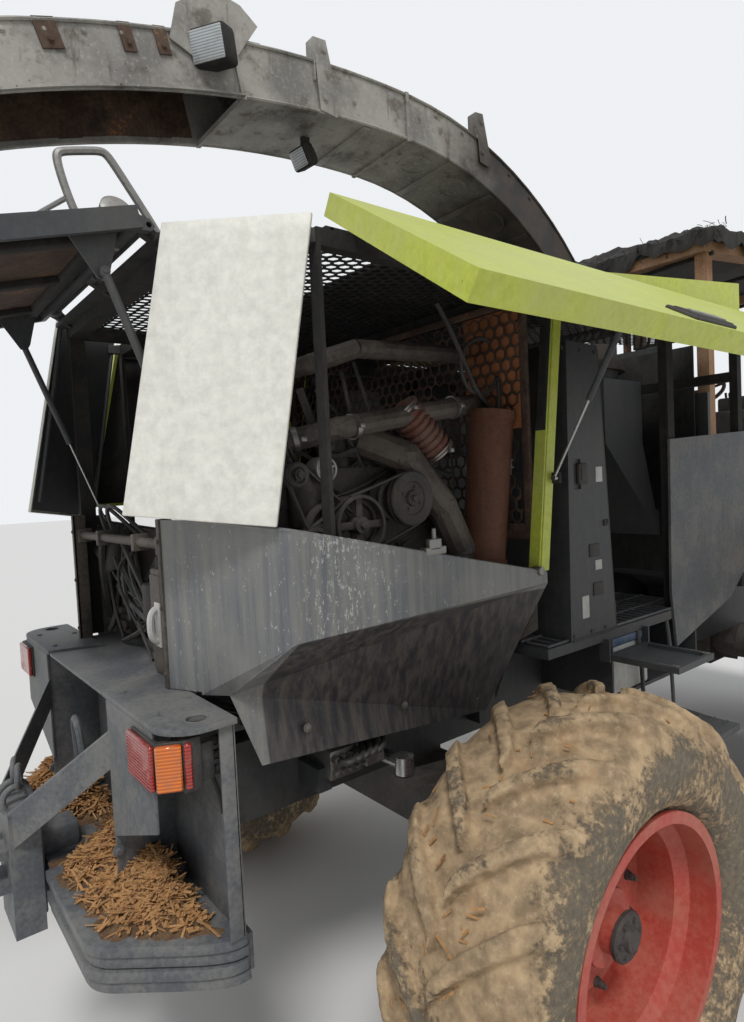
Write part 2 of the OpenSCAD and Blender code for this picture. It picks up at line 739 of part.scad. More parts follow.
module platforms() {
    color(dark_grey) placed() union() {
        both_sides() {
            block(rail_x + 50, body_x - 30, platform_y0, platform_y1, platform_z - 40, platform_z);
            block(rail_x + 50, body_x - 16, platform_y0, 1210, platform_z - 40, platform_z);
            block(rail_x + 50, 520, platform_y0, platform_y1, frame_z + 60, platform_z - 40);
            block(520, body_x - 16, platform_y0 + 430, platform_y0 + 442, 1180, platform_z - 40);
            block(520, body_x - 30, platform_y1 - 12, platform_y1, 1180, platform_z - 40);
            block(520, body_x - 30, platform_y0 + 430, platform_y1, 1170, 1186);
        }
        translate([lid_hinge[0], lid_y0 - 14, lid_hinge[1]]) rotate([-90, 0, 0])
            cylinder(r = 5, h = lid_y1 - lid_y0 + 28);
        for (y = [lid_y0 - 14, lid_y1 + 4]) block(body_x - 40, lid_hinge[0] + 8, y, y + 10, lid_z - 5, platform_z - 30);
    }
}

lid_y0 = 660;
lid_y1 = 950;
lid_z = 1360;
lid_w = 290;

lid_hinge = [body_x, lid_z + 13];

module toolbox_lid() {
    color(dark_grey) placed() difference() {
        block(body_x - 9, body_x + lid_w, lid_y0, lid_y1, lid_z, lid_z + 25);
        block(body_x + 20, body_x + lid_w - 20, lid_y0 + 20, lid_y1 - 20, lid_z + 10, lid_z + 26);
        translate([lid_hinge[0], lid_y0 - 1, lid_hinge[1]]) rotate([-90, 0, 0])
            cylinder(r = 5 + hinge_gap, h = lid_y1 - lid_y0 + 2);
    }
}

module side_panels() {
    color(dark_grey) placed() both_sides() across(body_x - 28, body_x - 16) polygon([
        [1220, 1560], [1260, 1300], [1840, 1450], [2120, 1640], [2120, 2330], [1240, 2280]
    ]);
}

// Cab

cab_front_y = cab_rear_y + 1640;
cab_mid_y = cab_rear_y + 800;
cab_front_x = 700;

module cab_outline(inset) {
    polygon([
        [-cab_rear_x + inset, cab_rear_y + inset], [cab_rear_x - inset, cab_rear_y + inset],
        [cab_mid_x - inset, cab_mid_y], [cab_front_x - inset, cab_front_y - inset],
        [-cab_front_x + inset, cab_front_y - inset], [-cab_mid_x + inset, cab_mid_y]
    ]);
}

module cab_floor() {
    color(dark_grey) placed() union() {
        translate([0, 0, cab_floor_z]) linear_extrude(60) cab_outline(0);
        block(-cab_rear_x, cab_rear_x, cab_rear_y, cab_rear_y + 30, cab_floor_z, cab_floor_z + 620);
        block(-240, 240, cab_rear_y + 250, cab_rear_y + 700, cab_floor_z + 50, cab_floor_z + 330);
        block(-250, 250, cab_rear_y + 220, cab_rear_y + 760, cab_floor_z + 320, cab_floor_z + 400);
        block(-230, 230, cab_rear_y + 200, cab_rear_y + 260, cab_floor_z + 390, cab_floor_z + 980);
        rod([0, cab_front_y - 260, cab_floor_z + 30], [0, cab_front_y - 420, cab_floor_z + 760], 35);
        for (x = [-rail_x, rail_x])
            block(x - 45, x + 45, wheelbase - 700, rail_front_y - 20, frame_z + rail_h, cab_floor_z + 5);
    }
}

door_hinge_x = -cab_mid_x - 44;
door_hinge_y = cab_mid_y + 20;
door_hinge_heights = [cab_floor_z + 240, cab_roof_z - 330];

module cab_posts() {
    h = cab_roof_z - cab_floor_z - 60;
    color(rust) placed() union() {
        both_sides() {
            translate([cab_rear_x - cab_post, cab_rear_y + 30, cab_floor_z + 60]) cube([cab_post, cab_post, h]);
            translate([cab_mid_x - cab_post, cab_mid_y - cab_post / 2, cab_floor_z + 60])
                cube([cab_post, cab_post, h]);
            translate([cab_front_x - cab_post, cab_front_y - cab_post, cab_floor_z + 60])
                cube([cab_post, cab_post, h]);
        }
        for (z = door_hinge_heights) {
            block(-cab_mid_x - 54, -cab_mid_x + 20, door_hinge_y - 12, door_hinge_y + 12, z - 20, z);
            translate([door_hinge_x, door_hinge_y, z - 10]) cylinder(r = 10, h = 90);
        }
        translate([0, 0, cab_roof_z]) linear_extrude(60) difference() {
            cab_outline(0);
            cab_outline(90);
        }
    }
}

module cab_roof() {
    color([0.1, 0.1, 0.1]) placed() union() {
        translate([0, 0, cab_roof_z + 60]) linear_extrude(60) cab_outline(-10);
        translate([0, 0, cab_roof_z + 110]) linear_extrude(40) cab_outline(70);
    }
}

door_y0 = cab_mid_y + 45;
door_y1 = cab_front_y - cab_post - 10;

module cab_door() {
    color(rust) placed() union() {
        difference() {
            sheet([
                [-cab_mid_x - 26, door_y0, cab_floor_z + 70], [-cab_mid_x - 26 + 94, door_y1, cab_floor_z + 70],
                [-cab_mid_x - 26 + 94, door_y1, cab_roof_z - 10], [-cab_mid_x - 26, door_y0, cab_roof_z - 10]
            ], [-36, -4, 0]);
            translate([-cab_mid_x - 200, door_y0 + 60, cab_floor_z + 420])
                cube([400, door_y1 - door_y0 - 120, cab_roof_z - cab_floor_z - 500]);
        }
        for (z = door_hinge_heights) difference() {
            union() {
                translate([door_hinge_x, door_hinge_y, z + 6]) cylinder(r = 18, h = 60);
                block(door_hinge_x - 16, door_hinge_x + 8, door_hinge_y + 4, door_y0 + 10, z + 6, z + 66);
            }
            translate([door_hinge_x, door_hinge_y, z]) cylinder(r = 10 + hinge_gap, h = 100);
        }
    }
}

// Crop flow: chopper, intake and feed rolls

drum_y = wheelbase + 480;
drum_z = 1010;
intake_x = 400;
header_bolt_x = intake_x + 55;
header_bolt_heights = [620, 1260];
header_bolt_r = 16;

module chopper_housing() {
    color(dark_grey) placed() union() {
        across(-330, 330) polygon([
            [wheelbase + 190, 720], [wheelbase + 190, 1180], [wheelbase - 100, 1330],
            [wheelbase - 560, 1420], [slew_y - 200, 2300], [slew_y - 200, hood_z - 230],
            [slew_y + 200, hood_z - 230], [slew_y + 200, 2300], [slew_y + 330, cab_floor_z - 60],
            [wheelbase - 330, 1640],
            [wheelbase + 300, 1560], [wheelbase + 720, 1260], [drum_y + 60, drum_z + 236]
        ]);
        bar_x(-340, 340, drum_y, drum_z, 240);
        translate([0, slew_y, hood_z - 240]) cylinder(r = 260, h = 80);
        bar_x(-intake_x - 30, intake_x + 30, drum_y, drum_z, 60);
        both_sides() block(320, rail_x - rail_w / 2 - seat_gap, wheelbase + 210, wheelbase + 290,
            frame_z + 80, frame_z + 200);
    }
}

roll_y = drum_y + 660;
roll_heights = [1075, 800];
roll_shaft_r = 30;

module intake_housing() {
    color(dark_grey) placed() difference() {
        union() {
            block(-intake_x - 20, -intake_x + 10, drum_y - 60, intake_front_y - 40, 640, 1240);
            block(intake_x - 10, intake_x + 20, drum_y - 60, intake_front_y - 40, 640, 1240);
            block(-intake_x, intake_x, drum_y + 360, intake_front_y - 40, 640, 664);
            block(-intake_x, intake_x, drum_y + 360, intake_front_y - 40, 1216, 1240);
            difference() {
                block(-intake_x - 90, intake_x + 90, intake_front_y - 60, intake_front_y, 560, 1320);
                block(-intake_x + 10, intake_x - 10, intake_front_y - 61, intake_front_y + 1, 664, 1216);
            }
            both_sides() bar_x(intake_x + 10, lift_x - 22, lift_eye[0], lift_eye[1], 20);
        }
        bar_x(-intake_x - 30, intake_x + 30, drum_y, drum_z, 60 + hinge_gap);
        for (z = roll_heights) bar_x(-intake_x - 30, intake_x + 30, roll_y, z, roll_shaft_r + hinge_gap);
        for (s = [-1, 1], z = header_bolt_heights) translate([s * header_bolt_x, intake_front_y - 61, z])
            rotate([-90, 0, 0]) cylinder(r = header_bolt_r, h = 70);
    }
}

module roll(z, r) {
    half = intake_x - 18;
    union() {
        bar_x(-intake_x - 10, intake_x + 10, roll_y, z, roll_shaft_r);
        bar_x(-half, half, roll_y, z, r - 22);
        for (i = [0:7]) translate([0, roll_y, z]) rotate([i * 45, 0, 0])
            block(-half + 8, half - 8, -6, 6, r - 30, r);
    }
}

module feed_roll_upper() { color(steel_grey) placed() roll(roll_heights[0], 120); }
module feed_roll_lower() { color(steel_grey) placed() roll(roll_heights[1], 110); }

lift_barrel = 520;

module lift_cylinders() {
    color(dark_grey) placed() both_sides()
        strut_yz(lift_foot, lift_eye, lift_x) strut_barrel_shape(38, 22, 42, 82, 20, lift_barrel);
}

module lift_rods() {
    l = norm(lift_eye - lift_foot);
    color(silver_grey) placed() both_sides()
        strut_yz(lift_foot, lift_eye, lift_x) strut_rod_shape(22, 34, 30, l - 500, l);
}

// Spout

turret_z = hood_z - 160;
pivot_z = 3010;
side_gap = 8;

module spout_arc(y, z, a0, a1) {
    translate([0, y, z]) rotate([0, 90, 0]) rotate([0, 0, 180 - a1])
        rotate_extrude(angle = a1 - a0, $fn = 180) children();
}

module spout_box(r) {
    difference() {
        translate([r - spout_h, -spout_w / 2]) square([spout_h, spout_w]);
        translate([r - spout_h + 8, -spout_w / 2 + 8]) square([spout_h - 16, spout_w - 16]);
    }
}

module spout_channel(r) {
    difference() {
        union() {
            translate([r - spout_h, -spout_w / 2]) square([spout_h, spout_w]);
            translate([r - spout_h, -spout_w / 2 - 22]) square([8, spout_w + 44]);
        }
        translate([r - spout_h - 1, -spout_w / 2 + 8]) square([spout_h - 8 + 1, spout_w - 16]);
    }
}

bend_end_a = 60;
bend_z = spout_peak_z - spout_bend_r;
rear_arc_z = spout_peak_z - spout_rear_r;

module spout_ring(a) {
    spout_arc(spout_peak_y, rear_arc_z, a - 0.12, a + 0.12) difference() {
        translate([spout_rear_r - spout_h - 8, -spout_w / 2 - 10]) square([spout_h + 14, spout_w + 20]);
        translate([spout_rear_r - spout_h + 10, -spout_w / 2 + 10]) square([spout_h - 20, spout_w - 20]);
    }
}

module spout() {
    color(steel_grey) placed() difference() {
        union() {
            spout_arc(spout_peak_y, bend_z, 0, bend_end_a) spout_box(spout_bend_r);
            spout_arc(spout_peak_y, rear_arc_z, -spout_open_a, 0) spout_box(spout_rear_r);
            spout_arc(spout_peak_y, rear_arc_z, -spout_tip_a, -spout_open_a) spout_channel(spout_rear_r);
            spout_ring(0);
            spout_ring(-spout_open_a);
            translate([0, spout_tip_y, rear_arc_z + spout_rear_r * cos(spout_tip_a)]) rotate([spout_tip_a, 0, 0])
                mirror([0, 1, 0]) {
                    for (x = [-150, 0, 150]) across(x - 20, x + 20) union() {
                        translate([-20, flap_pin[1] - 8]) square([20 + flap_pin[0], 14]);
                        translate(flap_pin) circle(r = 8);
                    }
                    bar_x(-165, 165, flap_pin[0], flap_pin[1], flap_pin_r);
                }
            both_sides() {
                bar_x(spout_w / 2 - 11, spout_w / 2 + 1, slew_y, pivot_z, 150);
                block(24, 34, spout_eye[0] - 30, spout_eye[0] + 60, spout_eye[1] - 25, spout_eye[1] + 150);
            }
        }
        bar_x(-spout_w, spout_w, slew_y, pivot_z, pivot_r + hinge_gap);
    }
}

pivot_r = 50;
spout_foot = [slew_y - 230, 2850];
spout_eye = [slew_y - 400, 3150];

module spout_turret() {
    plate_x = spout_w / 2 + side_gap;
    color(steel_grey) placed() union() {
        translate([0, slew_y, turret_z]) difference() {
            cylinder(r = 300, h = 50);
            translate([0, 0, -1]) cylinder(r = 200, h = 52);
        }
        both_sides() {
            across(plate_x, plate_x + 14) union() {
                translate([slew_y - 130, turret_z + 20]) square([260, pivot_z - turret_z - 20]);
                translate([slew_y, pivot_z]) circle(r = 130);
                translate([slew_y - 260, turret_z + 45]) square([200, 80]);
            }
            bar_x(spout_w / 2 - 30, plate_x + 1, slew_y, pivot_z, pivot_r);
        }
        bar_x(-plate_x - 1, plate_x + 1, spout_foot[0], spout_foot[1], 18);
    }
}

spout_barrel = 230;

module spout_cylinder() {
    color(steel_grey) placed() strut_yz(spout_foot, spout_eye, 0) strut_barrel_shape(32, 16, 34, 40, 18, spout_barrel);
}

module spout_rod() {
    l = norm(spout_eye - spout_foot);
    color(silver_grey) placed() strut_yz(spout_foot, spout_eye, 0) strut_rod_shape(16, 24, 24, l - 250, l);
}

flap_pin = [12, -2];
flap_pin_r = 5;
flap_hinge = [
    spout_tip_y - flap_pin[0] * cos(spout_tip_a) - flap_pin[1] * sin(spout_tip_a),
    rear_arc_z + spout_rear_r * cos(spout_tip_a) - flap_pin[0] * sin(spout_tip_a) + flap_pin[1] * cos(spout_tip_a)
];

module spout_flap() {
    slant = tan(48);
    color(steel_grey) placed() translate([0, flap_hinge[0], flap_hinge[1]]) rotate([spout_flap_a, 0, 0])
        mirror([0, 1, 0]) difference() {
            union() {
                difference() {
                    across(-spout_w / 2, spout_w / 2) polygon([
                        [16, 0], [16 + flap_tip_l, 0], [16 + flap_tip_l, -40], [16 + 150 * slant + 60, -150],
                        [16 + 150 * slant, -150], [16 + 12 * slant, -12]
                    ]);
                    across(-spout_w / 2 + 8, spout_w / 2 - 8) polygon([
                        [-40, -8], [40 + flap_tip_l, -8], [40 + flap_tip_l, -160], [-40, -160]
                    ]);
                }
                both_sides() across(50, 110) union() {
                    circle(r = 9);
                    translate([0, -9]) square([24, 15]);
                }
            }
            bar_x(-spout_w, spout_w, 0, 0, flap_pin_r + hinge_gap);
        }
}

module spout_lamps() {
    color(dark_grey) placed() union() {
        translate([70, -560, 3816.3]) rotate([-8, 0, 0]) {
            cube([130, 90, 10]);
            translate([10, 0, 0]) cube([12, 90, 120]);
            translate([20, -70, 30]) cube([120, 90, 90]);
        }
    }
}

// Rear end

module rear_deck() {
    color(dark_grey) placed() union() {
        translate([0, 0, deck_z - 14]) linear_extrude(14) difference() {
            union() {
                translate([-deck_x, -1200]) square([2 * deck_x, 200]);
                translate([-hatch_x + 70, -1200]) square([2 * hatch_x - 140, 560]);
            }
            both_sides() difference() {
                translate([deck_x - 110, -1201]) square([120, 111]);
                translate([deck_x - 110, -1090]) circle(r = 110);
            }
            both_sides() translate([790, -1090]) circle(r = 28);
        }
        both_sides() {
            block(388, 759, -1200, -1192, 960, deck_z - 13);
            block(388, 396, -1200, -1010, 960, deck_z - 13);
            sheet([
                [760, -1200, 960], [850, -1000, 960], [850, -1000, deck_z - 13], [760, -1200, deck_z - 13]
            ], [-8, 4, 0]);
        }
    }
}

plate_t = 26;
plate_gap = 8;

module ballast_outline(inset) {
    polygon([
        [-600 + inset, -1350 + inset], [600 - inset, -1350 + inset], [830 - inset, -1060],
        [830 - inset, -1000], [-830 + inset, -1000], [-830 + inset, -1060]
    ]);
}

module ballast_plates() {
    color(steel_grey) placed() union() {
        for (i = [0:3]) translate([0, 0, 960 - plate_t - i * (plate_t + plate_gap)])
            linear_extrude(plate_t) ballast_outline(0);
        translate([0, 0, 960 - 4 * plate_t - 3 * plate_gap + 1])
            linear_extrude(4 * plate_t + 3 * plate_gap - 2) ballast_outline(22);
    }
}

module tow_hitch() {
    color(steel_grey) placed() difference() {
        union() {
            block(-110, 110, -1440, -1350, 760, 1160);
            block(-70, 70, -1520, -1439, 900, 930);
            block(-70, 70, -1520, -1439, 1010, 1040);
            both_sides() sheet([
                [388, -1196, 1330], [388, -1196, 1440], [96, -1440, 1158], [96, -1440, 1040]
            ], [-14, 0, 0]);
        }
        translate([0, -1486, 880]) cylinder(r = 19, h = 180);
    }
}

module lamps() {
    color([0.6, 0.1, 0.05]) placed() {
        both_sides() translate([0, 0, 1380]) linear_extrude(130) polygon([
            [680, -1200.3], [680, -1226], [776, -1226], [785, -1205], [828, -1110], [807, -1100], [762, -1200.3]
        ]);
        translate([450, -930, hood_z - 22]) cylinder(r = 60, h = 90);
    }
}

rail_r = 16;

module handrails() {
    color(steel_grey) placed() both_sides() union() {
        tube_through([[300, -900, hood_z - 22], [300, -900, 2960], [300, -1070, 3210], [300, -1210, 3170],
            [300, -1170, 3000]], rail_r);
    }
}

module ladder() {
    color(dark_grey) placed() union() {
        for (z = [520, 800, 1080, 1360])
            block(-1130, -910, 1560, 1900, z, z + 30);
        block(-1130, -910, 1548, 1562, 520, 1660);
        block(-1130, -910, 1898, 1912, 520, 1660);
        block(-950, -body_x + 16, 1548, 1912, 1600, 1660);
    }
}

chassis_frame();
rear_axle();
knuckle_right();
knuckle_left();
steer_rod();
rear_rim_right();
rear_tyre_right();
rear_rim_left();
rear_tyre_left();
front_axle();
front_rim_right();
front_tyre_right();
front_rim_left();
front_tyre_left();
engine_block();
engine_pipes();
bay_screen();
hood_frame();
hood_side_right();
hood_side_left();
hood_cross_bars();
service_columns();
hood_roof();
hood_covers();
side_bands();
corner_panels();
side_flap_right();
side_flap_left();
flap_strut_right();
flap_rod_right();
flap_strut_left();
flap_rod_left();
rear_hatch();
hatch_struts();
hatch_rods();
platforms();
toolbox_lid();
side_panels();
cab_floor();
cab_posts();
cab_roof();
cab_door();
chopper_housing();
intake_housing();
feed_roll_upper();
feed_roll_lower();
lift_cylinders();
lift_rods();
spout_turret();
spout();
spout_flap();
spout_cylinder();
spout_rod();
spout_lamps();
rear_deck();
ballast_plates();
tow_hitch();
lamps();
handrails();
ladder();
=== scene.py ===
import math
import random

import bmesh
import bpy
from bpy.props import FloatProperty, FloatVectorProperty, IntProperty, PointerProperty
from mathutils import Matrix, Vector, noise


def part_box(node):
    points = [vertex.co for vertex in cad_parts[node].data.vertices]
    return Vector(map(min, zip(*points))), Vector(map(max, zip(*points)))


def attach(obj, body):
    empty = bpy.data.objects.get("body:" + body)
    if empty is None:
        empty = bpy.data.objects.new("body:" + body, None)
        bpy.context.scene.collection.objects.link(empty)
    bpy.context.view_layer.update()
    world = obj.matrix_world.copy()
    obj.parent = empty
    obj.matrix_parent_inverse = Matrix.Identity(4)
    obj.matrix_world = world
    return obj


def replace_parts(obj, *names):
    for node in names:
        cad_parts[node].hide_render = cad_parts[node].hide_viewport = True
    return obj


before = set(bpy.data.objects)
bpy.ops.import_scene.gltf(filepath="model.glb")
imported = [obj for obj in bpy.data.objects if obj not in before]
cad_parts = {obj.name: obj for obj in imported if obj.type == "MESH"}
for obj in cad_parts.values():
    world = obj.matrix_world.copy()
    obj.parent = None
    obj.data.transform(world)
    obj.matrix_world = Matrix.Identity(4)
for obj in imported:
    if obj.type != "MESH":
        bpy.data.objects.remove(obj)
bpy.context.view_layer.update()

bl_info = {
    "name": "Burnt forage harvester",
    "version": (1, 0, 0),
    "blender": (4, 5, 0),
    "location": "3D View > Sidebar > Harvester",
    "description": "Dresses the packed frame of a burnt-out self-propelled forage harvester",
    "category": "Add Mesh",
}

MM = 0.001
wheel_low, wheel_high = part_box("rear_rim_right")
AXLE_Y = (wheel_low[1] + wheel_high[1]) / 2
MACHINE = "machine"

# Millimetres, as in the solids
WHEELBASE = 3050
HOOD_Z = 2900
BODY_X = 900
HATCH_HINGE_Y = -1050
REAR_WHEEL_X, REAR_TYRE_D, REAR_TYRE_W = 1200, 1460, 560
REAR_RIM_D, REAR_RIM_W, REAR_LUGS = 762, 480, 18
FRONT_WHEEL_X, FRONT_TYRE_D, FRONT_TYRE_W = 1240, 1840, 680
FRONT_RIM_D, FRONT_RIM_W, FRONT_LUGS = 813, 600, 20
SPOUT_PEAK_Y, SPOUT_PEAK_Z, SPOUT_REAR_R, SPOUT_FOOT_R = 300, 3870, 4500, 1750
SPOUT_HALF_W, SPOUT_DEPTH = 202, 196

# Degrees
FLAP_SLOPES = ((1, "right", 32), (-1, "left", 90))
HATCH_SLOPE = 16

# The camera, fitted to the photograph: its focal length is in pixels of the frame's height
FOCAL_PIXELS = 652
FRAME_PIXELS = 1022
SENSOR_MM = 36.0
CAMERA_X, CAMERA_Y, CAMERA_Z = 2400, -1750, 2150
CAMERA_HEADING, CAMERA_DIP, CAMERA_ROLL = 51.6, 2.6, -2.75


def at(x, y, z):
    """A point given in millimetres from the middle of the rear axle's ground line."""
    return Vector((x * MM, y * MM + AXLE_Y, z * MM))


# Mesh helpers

def basis(origin, x_axis, z_axis):
    """A matrix whose X and Z point along the two directions."""
    z = Vector(z_axis).normalized()
    x = Vector(x_axis)
    x = (x - x.dot(z) * z).normalized()
    y = z.cross(x)
    return Matrix.Translation(origin) @ Matrix((x, y, z)).transposed().to_4x4()


def mm(x, y, z):
    """A step or direction given in millimetres."""
    return Vector((x * MM, y * MM, z * MM))


def verts_in(geom):
    """The vertices among mixed elements."""
    return [item for item in geom if isinstance(item, bmesh.types.BMVert)]


def faces_in(geom):
    """The faces among mixed elements."""
    return [item for item in geom if isinstance(item, bmesh.types.BMFace)]


def bevel(bm, edges, by, segments=2):
    """Rounds edges by a width in millimetres."""
    bmesh.ops.bevel(
        bm, geom=edges, offset=by * MM, offset_type="OFFSET", segments=segments, profile=0.5,
        affect="EDGES", clamp_overlap=True, material=-1,
    )


def soften(bm, verts, by, segments=2):
    """Rounds every edge that meets the vertices."""
    if by > 0:
        bevel(bm, list({edge for vert in verts for edge in vert.link_edges}), by, segments)


def slab(bm, place, size, round_by=2.0, segments=2):
    """A block centred on a placing matrix, its size in millimetres."""
    scale = Matrix.Diagonal((size[0] * MM, size[1] * MM, size[2] * MM, 1))
    made = bmesh.ops.create_cube(bm, size=1.0, matrix=place @ scale)
    soften(bm, made["verts"], round_by, segments)


def block(bm, x0, x1, y0, y1, z0, z1, round_by=2.0, segments=2):
    """A rounded box between two corners in millimetres."""
    centre = at((x0 + x1) / 2, (y0 + y1) / 2, (z0 + z1) / 2)
    slab(bm, Matrix.Translation(centre), (x1 - x0, y1 - y0, z1 - z0), round_by, segments)


def bar(bm, start, end, r0, r1=None, segments=20, round_by=0.0):
    """A round bar between two points, its radii in millimetres."""
    along = end - start
    place = Matrix.Translation((start + end) / 2) @ along.to_track_quat("Z", "Y").to_matrix().to_4x4()
    made = bmesh.ops.create_cone(
        bm, cap_ends=True, segments=segments, radius1=r0 * MM, radius2=(r0 if r1 is None else r1) * MM,
        depth=along.length, matrix=place,
    )
    if round_by > 0:
        edges = {edge for vert in made["verts"] for edge in vert.link_edges}
        bevel(bm, [edge for edge in edges if any(len(face.verts) > 4 for face in edge.link_faces)], round_by)


def bolt(bm, point, normal, r=9.0, h=7.0):
    """A hexagon head standing on a face."""
    direction = Vector(normal).normalized()
    bar(bm, point - direction * 2 * MM, point + direction * h * MM, r, segments=6, round_by=1.0)
    bar(bm, point - direction * 2 * MM, point + direction * 1.5 * MM, r * 1.5, segments=14)


def plate(bm, corners, thickness, round_by=1.5):
    """A flat or gently warped plate through corners, thickened along a vector in metres."""
    verts = [bm.verts.new(p) for p in corners]
    face = bm.faces.new(verts)
    made = bmesh.ops.extrude_face_region(bm, geom=[face])
    moved = verts_in(made["geom"])
    bmesh.ops.translate(bm, verts=moved, vec=thickness)
    soften(bm, verts + moved, round_by, 1)


def disc(x, y, r, steps=20):
    """Points evenly round a circle."""
    return [(x + r * math.cos(k * 2 * math.pi / steps),
             y + r * math.sin(k * 2 * math.pi / steps)) for k in range(steps)]


def rounded(points, radii, steps=6):
    """An outline with its corners rounded."""
    out = []
    for n, (corner, r) in enumerate(zip(points, radii)):
        here = Vector(corner)
        before = (Vector(points[n - 1]) - here).normalized() * r
        after = (Vector(points[(n + 1) % len(points)]) - here).normalized() * r
        if r <= 0:
            out.append(tuple(here))
            continue
        for k in range(steps + 1):
            t = k / steps
            out.append(tuple(here + before * (1 - t) ** 2 + after * t ** 2))
    return out


def sheet(bm, outline, z, thick, holes=(), round_by=1.5):
    """A level plate of any outline with holes through it."""
    edges = []
    for points in (outline, *holes):
        verts = [bm.verts.new(at(x, y, z)) for x, y in points]
        edges += [bm.edges.new(pair) for pair in zip(verts, verts[1:] + verts[:1])]
    made = bmesh.ops.triangle_fill(bm, use_beauty=True, use_dissolve=False, edges=edges)
    faces = faces_in(made["geom"])
    top = bmesh.ops.extrude_face_region(bm, geom=faces)["geom"]
    moved = verts_in(top)
    bmesh.ops.translate(bm, verts=moved, vec=mm(0, 0, thick))
    region = list({f for v in moved for f in v.link_faces} | {f for f in faces if f.is_valid})
    bmesh.ops.recalc_face_normals(bm, faces=region)
    edges = {e for f in region for e in f.edges}
    sharp = [e for e in edges if len(e.link_faces) == 2 and e.calc_face_angle(0) > 1.0]
    bevel(bm, sharp, round_by)


def torus(bm, centre, axis, ring, r, steps=36, segments=10, angle=2 * math.pi, side=None):
    """A round ring, or a part of one, about an axis."""
    z = Vector(axis).normalized()
    x = z.orthogonal().normalized() if side is None else Vector(side).normalized()
    start = basis(centre + x * ring * MM, z, z.cross(x))
    made = bmesh.ops.create_circle(bm, segments=segments, radius=r * MM, matrix=start)
    edges = list({e for v in made["verts"] for e in v.link_edges})
    full = angle > 6.28
    bmesh.ops.spin(bm, geom=edges, cent=centre, axis=z, angle=angle, steps=steps, use_merge=full)


def turned(bm, profile, place, steps=48):
    """A profile of (radius, height) in millimetres turned about the place's Z axis."""
    verts = [bm.verts.new(place @ mm(r, 0, h)) for r, h in profile]
    edges = [bm.edges.new(pair) for pair in zip(verts, verts[1:])]
    bmesh.ops.spin(
        bm, geom=verts + edges, cent=place.translation, axis=place.to_3x3() @ Vector((0, 0, 1)),
        angle=2 * math.pi, steps=steps, use_merge=True,
    )
    bmesh.ops.remove_doubles(bm, verts=bm.verts, dist=1e-5)


def tube(bm, points, r, smooth=True, sides=3):
    """A hose or pipe of radius r millimetres along points, swept as a curve and added to the mesh."""
    data = bpy.data.curves.new("route", "CURVE")
    data.dimensions = "3D"
    data.bevel_depth = r * MM
    data.bevel_resolution = sides - 1
    data.use_fill_caps = True
    data.resolution_u = 5 if smooth else 1
    line = data.splines.new("NURBS" if smooth else "POLY")
    line.points.add(len(points) - 1)
    for slot, point in zip(line.points, points):
        slot.co = (*point, 1)
    if smooth:
        line.use_endpoint_u = True
        line.order_u = min(4, len(points))
    holder = bpy.data.objects.new("route", data)
    mesh = bpy.data.meshes.new_from_object(holder)
    bm.from_mesh(mesh)
    bpy.data.objects.remove(holder)
    bpy.data.meshes.remove(mesh)
    bpy.data.curves.remove(data)


def honeycomb(bm, place, columns, rows, pitch, web, thick, keep=None):
    """A sheet with six-sided holes in the place's X-Y plane."""
    ring = pitch / math.sqrt(3)
    faces = []
    for row in range(rows):
        for column in range(columns):
            x = (column + 0.5 * (row % 2)) * pitch
            y = row * ring * 1.5
            if keep is not None and not keep(x, y):
                continue
            spot = place @ Matrix.Translation(mm(x, y, 0))
            made = bmesh.ops.create_circle(bm, cap_ends=True, segments=6, radius=ring * MM, matrix=spot)
            faces.append(made["verts"][0].link_faces[0])
    bmesh.ops.inset_individual(bm, faces=faces, thickness=web / 2 * MM, use_even_offset=True)
    bmesh.ops.delete(bm, geom=faces, context="FACES_ONLY")
    bmesh.ops.remove_doubles(bm, verts=bm.verts, dist=0.0004)
    bmesh.ops.recalc_face_normals(bm, faces=bm.faces)
    bmesh.ops.solidify(bm, geom=list(bm.faces), thickness=thick * MM)


def spokes(count):
    """Directions evenly round the X axis, from the top."""
    turns = [n * 2 * math.pi / count for n in range(count)]
    return [Vector((0, math.sin(a), math.cos(a))) for a in turns]


def mirrored(bm):
    """Adds the left copy of what is built on the right."""
    made = bmesh.ops.duplicate(bm, geom=list(bm.verts) + list(bm.edges) + list(bm.faces))
    verts = verts_in(made["geom"])
    faces = faces_in(made["geom"])
    bmesh.ops.scale(bm, verts=verts, vec=(-1, 1, 1))
    bmesh.ops.reverse_faces(bm, faces=faces)


def finish_piece(bm, name, body, finish, crease=38.0, normals=True):
    """Turns a bmesh into a piece that rides on a body."""
    bmesh.ops.remove_doubles(bm, verts=bm.verts, dist=2e-6)
    if normals:
        bmesh.ops.recalc_face_normals(bm, faces=bm.faces)
    mesh = bpy.data.meshes.new(name)
    bm.to_mesh(mesh)
    bm.free()
    mesh.polygons.foreach_set("use_smooth", [True] * len(mesh.polygons))
    mesh.set_sharp_from_angle(angle=math.radians(crease))
    piece = bpy.data.objects.new(name, mesh)
    bpy.context.scene.collection.objects.link(piece)
    mesh.materials.append(FINISH[finish])
    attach(piece, body)
    return piece


# Material helpers

def tint(code):
    """A web colour as linear RGBA."""
    parts = [int(code[i:i + 2], 16) / 255 for i in (0, 2, 4)]
    return tuple((c / 12.92 if c <= 0.04045 else ((c + 0.055) / 1.055) ** 2.4) for c in parts) + (1.0,)


def add(tree, kind, slots=(), **settings):
    """A shader node with its settings, values and links."""
    made = tree.nodes.new(kind)
    for key, value in settings.items():
        setattr(made, key, value)
    for key, value in dict(slots).items():
        socket = made.inputs[key]
        if isinstance(value, bpy.types.NodeSocket):
            tree.links.new(value, socket)
        else:
            socket.default_value = value
    return made


def calc(tree, operation, a, b=0.0):
    """One sum of two values or sockets."""
    return add(tree, "ShaderNodeMath", {0: a, 1: b}, operation=operation).outputs[0]


def times(tree, a, b):
    return calc(tree, "MULTIPLY", a, b)


